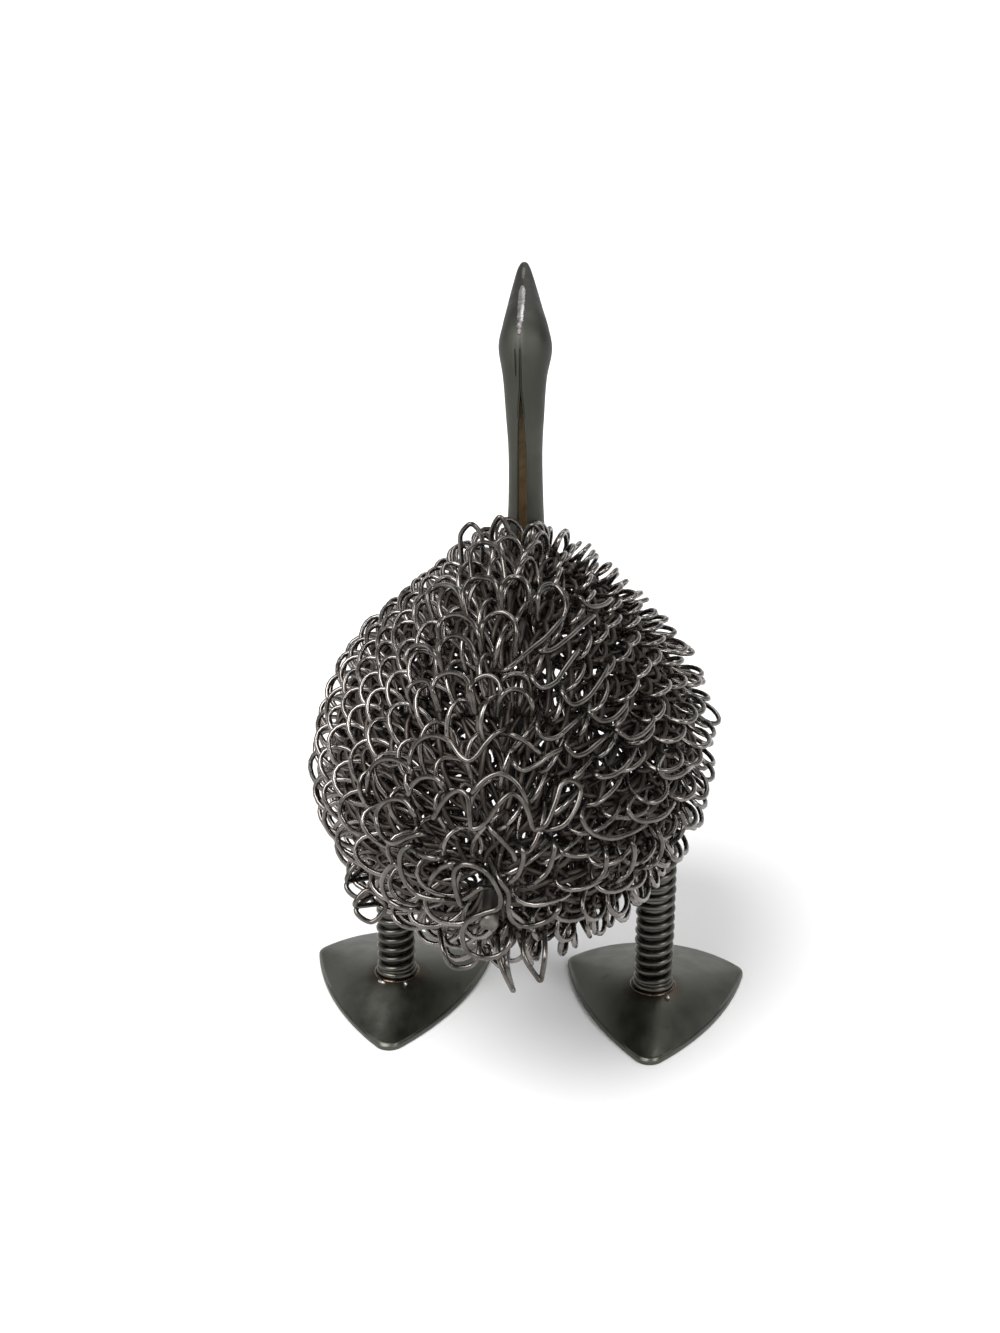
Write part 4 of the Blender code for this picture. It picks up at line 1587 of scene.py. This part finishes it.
@dataclass
class Foot:
    """Foot pressed from sheet: a rounded triangle domed up to the leg, hollow underneath.

    Attributes:
        side: Which foot.
        turn: Turn of the foot about its leg.
        peak: Height of the seat under the leg.
        rim: Height of the turned edge.
        edge: Radius of its rounding.
        sheet: Thickness of the sheet.
        heel: Reach from the leg back to the tip of the heel.
        toe: Reach forward to the middle of the toe edge.
        corner: Centre of the right toe corner.
        corner_radius: Radius of the toe corners and of the heel.
        side_radius: Bulge of the two sides.
        seat: Radius of the seat under the leg.
        dome_power: Power that shapes the dome.
        rounding: Angle over which the rim's corners are evened out near the leg.
        corner_steps: Steps round a corner.
        side_steps: Steps along a side.
        dome_rings: Rings from the seat to the rim.
        dome_end: Share of the way out at which the last of them lies.
        bends: Turns of the rings round the edge.
        lower_edge: Size of the broken edge below, inwards and upwards.
    """

    side: Side
    turn: float
    peak: float = 15.0 * MM
    rim: float = 2.6 * MM
    edge: float = 1.3 * MM
    sheet: float = 2.0 * MM
    heel: float = 42.5 * MM
    toe: float = 57.8 * MM
    corner: tuple[float, float] = (34.6 * MM, 36.2 * MM)
    corner_radius: float = 7.0 * MM
    side_radius: float = 150.0 * MM
    seat: float = 9.6 * MM
    dome_power: float = 1.25
    rounding: float = 36.0 * DEG
    corner_steps: int = 10
    side_steps: int = 26
    dome_rings: int = 30
    dome_end: float = 0.97
    bends: tuple[float, ...] = (20.0 * DEG, 40.0 * DEG, 60.0 * DEG, 80.0 * DEG)
    lower_edge: tuple[float, float] = (0.35 * MM, 0.4 * MM)

    def outline(self) -> Points:
        """Rim of the foot round the leg's own centre, counter-clockwise from the heel."""
        sagitta = self.toe - self.corner[1] - self.corner_radius
        toe_radius = (self.corner[0] ** 2 + sagitta ** 2) / (2 * sagitta) + self.corner_radius
        heel = np.array((0.0, self.corner_radius - self.heel))
        right = np.array(self.corner)
        left = right * (-1.0, 1.0)
        corners = (heel, right, left)
        bulges = (self.side_radius, toe_radius, self.side_radius)
        middles = [self._arc_centre(corners[i], corners[(i + 1) % 3], bulges[i])
                   for i in range(3)]
        outline = []
        for i, corner in enumerate(corners):
            before = corner - middles[i - 1]
            after = corner - middles[i]
            outline.append(self._arc(corner, self.corner_radius, before, after,
                                     self.corner_steps))
            following = corners[(i + 1) % 3] - middles[i]
            outline.append(self._arc(middles[i], bulges[i], after, following,
                                     self.side_steps)[1:-1])
        return np.vstack(outline)

    def _arc_centre(self, first: Points, second: Points, radius: float) -> Points:
        """Centre of the arc that closes round two corner circles, on their right-hand side.

        Args:
            first: Centre of the first circle.
            second: Centre of the second.
            radius: Radius of the arc.

        Returns:
            The arc's centre.
        """
        span = second - first
        length = float(np.linalg.norm(span))
        off = math.sqrt((radius - self.corner_radius) ** 2 - (length / 2) ** 2)
        return (first + second) / 2 + np.array((-span[1], span[0])) / length * off

    @staticmethod
    def _arc(centre: Points, radius: float, start: Points, end: Points, steps: int) -> Points:
        """Counter-clockwise arc between two directions.

        Args:
            centre: Centre of the arc.
            radius: Its radius.
            start: Direction in which it starts.
            end: Direction in which it ends.
            steps: Number of steps.

        Returns:
            The arc's points.
        """
        begin = math.atan2(start[1], start[0])
        sweep = (math.atan2(end[1], end[0]) - begin) % (2 * math.pi)
        turns = begin + sweep * np.linspace(0.0, 1.0, steps + 1)
        return centre + radius * np.stack((np.cos(turns), np.sin(turns)), axis=-1)

    def _evened(self, rim: Points) -> Points:
        """Distance from the leg's centre to the rim, its corners evened out.

        Args:
            rim: Points of the rim.

        Returns:
            The distance for each point.
        """
        reach = np.linalg.norm(rim, axis=1)
        angles = np.arctan2(rim[:, 1], rim[:, 0])
        apart = np.angle(np.exp(1j * (angles[:, None] - angles[None, :])))
        steps = np.abs(np.angle(np.exp(1j * (np.roll(angles, -1) - np.roll(angles, 1)))))
        weights = np.exp(-(apart / self.rounding) ** 2) * steps[None, :]
        return weights @ reach / weights.sum(axis=1)

    def build(self, finish: Material) -> None:
        """Press the foot and put it in place of its solid.

        Args:
            finish: Material of the sheet.
        """
        centre = leg_centre(self.side)
        cos, sin = math.cos(self.turn), math.sin(self.turn)
        rim = self.outline()
        reach = np.linalg.norm(rim, axis=1)
        seat = rim / reach[:, None] * self.seat
        corner = (reach - self.seat) / (self._evened(rim) - self.seat)

        def height(share: float) -> Points:
            """Height of the dome on the way out from the seat.

            Args:
                share: Share of the way, 1 at the rim.

            Returns:
                The height in each direction.
            """
            fall = share * (share ** 2 + (1.0 - share ** 2) * corner)
            return self.rim + (self.peak - self.rim) * (1.0 - np.clip(fall, 0.0, 1.0)
                                                        ** self.dome_power)

        def level(share: float, inset: float, z: Points | float) -> Points:
            """Ring of the sheet on the way out from the seat.

            Args:
                share: Share of the way, 1 at the rim.
                inset: How far the ring is drawn in.
                z: Its height, one for all or one for each point.

            Returns:
                The ring's points.
            """
            flat = seat + (rim - seat) * share
            flat = flat - flat / np.linalg.norm(flat, axis=1)[:, None] * inset
            spun = np.stack((flat[:, 0] * cos - flat[:, 1] * sin,
                             flat[:, 0] * sin + flat[:, 1] * cos), axis=-1) + centre
            return np.column_stack((spun, np.broadcast_to(z, len(flat))))

        shares = np.linspace(0.0, self.dome_end, self.dome_rings)
        rings = [level(share, 0.0, height(share)) for share in shares]
        for bend in self.bends:
            rings.append(level(1.0, self.edge * (1.0 - math.sin(bend)),
                               self.rim - self.edge * (1.0 - math.cos(bend))))
        inwards, upwards = self.lower_edge
        rings += [level(1.0, 0.0, upwards), level(1.0, inwards, 0.0),
                  level(1.0, self.sheet, 0.0)]
        rings += [level(share, self.sheet * share, height(share) - self.sheet)
                  for share in shares[::-1]]
        piece = piece_from("foot_plate_" + self.side.word, ring_skin(rings), [finish])
        piece.data.flip_normals()
        piece.data.set_sharp_from_angle(angle=60.0 * DEG)
        settle(piece, Slot.SHEET, "foot_" + self.side.word)


def leg_centre(side: Side) -> Points:
    """Middle of a leg, across and along."""
    low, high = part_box("leg_" + side.word)
    return np.array(((low.x + high.x) / 2, (low.y + high.y) / 2))


@dataclass(frozen=True)
class Drop:
    """A drop of spatter: a real bead, whose bright finish is a painted glint.

    Attributes:
        turn: Where it lies round the leg, as an angle from +X.
        away: Its distance from the middle of the leg.
        size: Its half sizes across, along the way out, and up.
    """

    turn: float
    away: float
    size: tuple[float, float, float]


@dataclass
class LegWeld:
    """Weld round the base of a leg: an uneven fillet, and drops of spatter beside it, bright as painted
    glints.

    Attributes:
        side: Which leg.
        seed: Start of the fillet's unevenness.
        drops: The drops.
        reach: Radius of the fillet's middle.
        height: Height of its middle.
        thick: Radius of its section.
        squash: Height of the section as a share of its width.
        waves: Numbers of waves round the leg that make it uneven.
        swing: How far the waves change its thickness, as a share, and its reach.
        bedding: How deep the drops lie below its middle.
        steps: Points round the leg.
        sides: Points round the section.
    """

    side: Side
    seed: int
    drops: tuple[Drop, ...]
    reach: float = 9.3 * MM
    height: float = 15.1 * MM
    thick: float = 1.15 * MM
    squash: float = 0.62
    waves: tuple[int, ...] = (2, 3, 5, 8, 13)
    swing: tuple[float, float] = (0.16, 0.25 * MM)
    bedding: float = 0.3 * MM
    steps: int = 96
    sides: int = 14

    def build(self, finish: Material, painted_glint_finish: Material) -> None:
        """Make the fillet and the drops.

        Args:
            finish: Material of the fillet.
            painted_glint_finish: Material of the drops, bright as a painted glint.
        """
        rng = np.random.default_rng(self.seed)
        centre = np.append(leg_centre(self.side), 0.0)
        turns = np.linspace(0.0, 2 * math.pi, self.steps, endpoint=False)
        wave = sum(rng.uniform(0.3, 1.0) / k * np.sin(k * turns + rng.uniform(0.0, 6.0))
                   for k in self.waves)
        thick = self.thick * (1.0 + self.swing[0] * wave)
        round_ = np.linspace(0.0, 2 * math.pi, self.sides, endpoint=False)
        reach = self.reach + self.swing[1] * wave[:, None] + thick[:, None] * np.cos(round_)
        rise = self.height + self.squash * thick[:, None] * np.sin(round_)
        rings = np.stack((centre[0] + reach * np.cos(turns)[:, None],
                          centre[1] + reach * np.sin(turns)[:, None], rise), axis=-1)
        faces = []
        for i in range(self.steps):
            here, ahead = i * self.sides, (i + 1) % self.steps * self.sides
            faces += [(here + j, here + (j + 1) % self.sides, ahead + (j + 1) % self.sides,
                       ahead + j) for j in range(self.sides)]
        skin = (rings.reshape(-1, 3), faces)
        fillet = piece_from("leg_weld_" + self.side.word, skin, [finish])
        fillet.data.flip_normals()
        settle(fillet, Slot.SHEET)
        for number, drop in enumerate(self.drops, start=1):
            self._drop("weld_drop_%s_%d" % (self.side.word, number), drop, centre, painted_glint_finish)

    def _drop(self, name: str, drop: Drop, centre: Points, finish: Material) -> None:
        """One drop, a low dome set a little into the foot.

        Args:
            name: Name of the piece.
            drop: Its place and size.
            centre: Middle of the leg, on the ground.
            finish: Its material.
        """
        rounds, ups = 18, 9
        out = np.array((math.cos(drop.turn), math.sin(drop.turn), 0.0))
        across = np.array((-out[1], out[0], 0.0))
        middle = centre + out * drop.away + (0.0, 0.0, self.height - self.bedding)
        points = []
        for rise in np.linspace(-0.5 * math.pi, 0.5 * math.pi, ups + 2)[1:-1]:
            for swing in np.linspace(0.0, 2 * math.pi, rounds, endpoint=False):
                flat = math.cos(rise)
                points.append(middle + across * drop.size[0] * flat * math.cos(swing)
                              + out * drop.size[1] * flat * math.sin(swing)
                              + np.array((0.0, 0.0, drop.size[2] * math.sin(rise))))
        piece = piece_from(name, ring_skin(np.reshape(points, (ups, rounds, 3))), [finish])
        piece.data.flip_normals()
        settle(piece, Slot.SHEET)


# Studio

@dataclass(frozen=True)
class Lamp:
    """Broad, even light from one direction.

    Attributes:
        name: Name of the light.
        azimuth: Where it comes from, turned from straight behind towards the duck's right.
        elevation: Its height above the level.
        breadth: Angle that it fills.
        power: Light that falls on a surface that faces it.
    """

    name: str
    azimuth: float
    elevation: float
    breadth: float
    power: float

    def hang(self) -> None:
        """Put the light in the scene."""
        light = bpy.data.lights.new(self.name, "SUN")
        light.angle = self.breadth
        light.energy = self.power
        away = direction(self.azimuth, self.elevation)
        holder = in_scene(self.name, light)
        holder.location = away
        holder.rotation_euler = (-away).to_track_quat("-Z", "Y").to_euler()


@dataclass
class Studio:
    """Pale floor, pale surroundings, soft lights and the camera behind and above the duck.

    Attributes:
        view: The camera's view.
        floor_size: Length of the floor's side.
        floor_grey: Brightness of the floor.
        surround: Strength of the pale surroundings up to a little above the level.
        ceiling: Strength of the surroundings overhead.
        horizon: Heights, as the sine of the elevation, between which one turns to the other.
        lamps: The lights.
    """

    view: View
    floor_size: float = 8.0
    floor_grey: float = 0.88
    surround: float = 1.06
    ceiling: float = 0.22
    horizon: tuple[float, float] = (0.15, 0.36)
    lamps: tuple[Lamp, ...] = (
        Lamp("key_light", -38.0 * DEG, 52.0 * DEG, 38.0 * DEG, 3.4),
        Lamp("fill_light", 52.0 * DEG, 38.0 * DEG, 20.0 * DEG, 1.1),
        Lamp("back_light", 160.0 * DEG, 50.0 * DEG, 36.0 * DEG, 0.4),
        Lamp("far_light", 180.0 * DEG, 66.0 * DEG, 26.0 * DEG, 0.6))

    def build(self) -> None:
        """Make the floor, the surroundings, the lights and the camera."""
        bpy.context.scene.view_settings.view_transform = "Standard"
        self._floor()
        self._surroundings()
        for lamp in self.lamps:
            lamp.hang()
        self._camera()

    def _floor(self) -> None:
        """Lay the floor."""
        half, grey = self.floor_size / 2, self.floor_grey
        paint = bpy.data.materials.new("floor_paint")
        paint.use_nodes = True
        fill(paint.node_tree, paint.node_tree.nodes["Principled BSDF"],
             {"Base Color": (grey, grey, grey, 1.0), "Roughness": 0.9})
        corners = ((-half, -half, 0.0), (half, -half, 0.0), (half, half, 0.0), (-half, half, 0.0))
        piece_from("floor", (corners, ((0, 1, 2, 3),)), [paint])

    def _surroundings(self) -> None:
        """Set the even light of the room."""
        world = bpy.data.worlds.new("pale_room")
        world.use_nodes = True
        tree = world.node_tree
        gaze = tree.nodes.new("ShaderNodeTexCoord")
        split = lay(tree, "SeparateXYZ", {"Vector": gaze.outputs["Generated"]})
        strength = ramp(tree, split.outputs["Z"], *self.horizon, self.surround, self.ceiling)
        fill(tree, tree.nodes["Background"],
             {"Color": (1.0, 1.0, 1.0, 1.0), "Strength": strength})
        bpy.context.scene.world = world

    def _camera(self) -> None:
        """Set the camera at the photograph's viewing angle."""
        camera = bpy.data.cameras.new("camera")
        camera.sensor_fit = "VERTICAL"
        camera.lens = camera.sensor_height * self.view.focal_px / self.view.height_px
        holder = in_scene("camera", camera)
        holder.location = self.view.target + self.view.offset
        holder.rotation_euler = (-self.view.offset).to_track_quat("-Z", "Y").to_euler()
        bpy.context.scene.camera = holder


@dataclass(frozen=True)
class Places:
    """Where the pieces stand, read from the frame.

    Attributes:
        middle_x: Middle plane of the body.
        shift_y: Distance from the duck's own Y values to the frame's.
    """

    middle_x: float
    shift_y: float

    @classmethod
    def from_frame(cls, rod_end: float = -121.2 * MM) -> "Places":
        """Read the places from the backbone rod, whose cut end has a known Y of its own."""
        low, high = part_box("backbone_rod")
        return cls((low.x + high.x) / 2, low.y - rod_end)

    @property
    def shift(self) -> Points:
        """The shift as a vector."""
        return np.array((self.middle_x, self.shift_y, 0.0))


def main() -> None:
    """Build every piece of the duck, then the studio round it."""
    logging.basicConfig(level=logging.INFO, format="%(name)s %(message)s")
    places = Places.from_frame()
    shelf = FinishShelf()
    wire = shelf.take(WOUND_WIRE)

    egg = Egg(Vector((places.middle_x, -8.0 * MM + places.shift_y, 135.5 * MM)))
    neck_x, neck_y = -0.5 * MM + places.middle_x, 50.0 * MM + places.shift_y
    keep_out = (neck_x, neck_y, 8.8 * MM, 8.6 * MM, 168.0 * MM)
    Plumage(egg, keep_out).build(wire, shelf.take(PAINTED_SHADE_WIRE))

    # Painted shade: the loose strands get a darker copy of the wound wire, standing in for the lesser
    # light that they catch.
    sprung = replace(WOUND_WIRE, name="sprung_wire_painted_shade", shade=(0.078, 0.071, 0.064),
                     tint=(0.156, 0.144, 0.133), gloss=(0.20, 0.34))
    view = View(Vector((-7.3 * MM + places.middle_x, places.shift_y, 165.0 * MM)))
    LooseStrands(view, egg, places.shift_y).build(shelf.take(sprung))

    head = NeckAndHead(places.shift)
    # Painted shade: the sheet is darkened round the head, which catches more light than the neck.
    sheet = replace(FORMED_SHEET, name="sheet_darker_at_head",
                    burn_and_painted_shade=(places.middle_x - 4.0 * MM, places.shift_y + 84.0 * MM, 36.0 * MM))
    head.build(shelf.take(sheet), shelf.take(INSIDE_SHEET), shelf.take(SEAM_PAINTED_SHADOW))
    faded = replace(GROUND_WELD, name="ground_weld_of_crown",
                    burn_and_painted_shade=(places.middle_x - 3.0 * MM, places.shift_y + 47.0 * MM, 9.0 * MM))
    head.weld("crown_weld", (6.02, 8.6), (1.5 * MM, 1.45 * MM), (-0.5 * MM, 0.1 * MM),
              shelf.take(faded))
    head.weld("beak_weld", (9.1, 9.85), (0.7 * MM, 0.9 * MM), (0.2 * MM, 0.4 * MM),
              shelf.take(CUT_END))
    BackboneRod(places.middle_x, places.shift_y).build(shelf.take(ROD_BAR), shelf.take(CUT_END))

    leg_wire = shelf.take(LEG_WIRE)
    for side, turn in ((Side.LEFT, 3.0 * DEG), (Side.RIGHT, -1.5 * DEG)):
        Leg(side).build(leg_wire)
        pressed = replace(PRESSED_FOOT, name="pressed_foot_" + side.word,
                          burn_and_painted_shade=(*(float(v) for v in leg_centre(side)), 14.5 * MM))
        Foot(side, turn).build(shelf.take(pressed))
    # The drops take the bright ground-weld finish, a painted glint; the broad flat drop on the left
    # foot stands in for a glint on the fillet.
    burnt, painted_glint_finish = shelf.take(BURNT_WELD), shelf.take(GROUND_WELD)
    LegWeld(Side.LEFT, 7, (Drop(-62.0 * DEG, 11.8 * MM, (0.85 * MM, 1.5 * MM, 1.0 * MM)),
                           Drop(-118.0 * DEG, 11.4 * MM, (2.2 * MM, 0.9 * MM, 0.8 * MM)))
            ).build(burnt, painted_glint_finish)
    LegWeld(Side.RIGHT, 8, (Drop(-57.0 * DEG, 12.2 * MM, (0.9 * MM, 1.35 * MM, 1.0 * MM)),)
            ).build(burnt, painted_glint_finish)

    Studio(view).build()


if __name__ == "__main__":
    main()
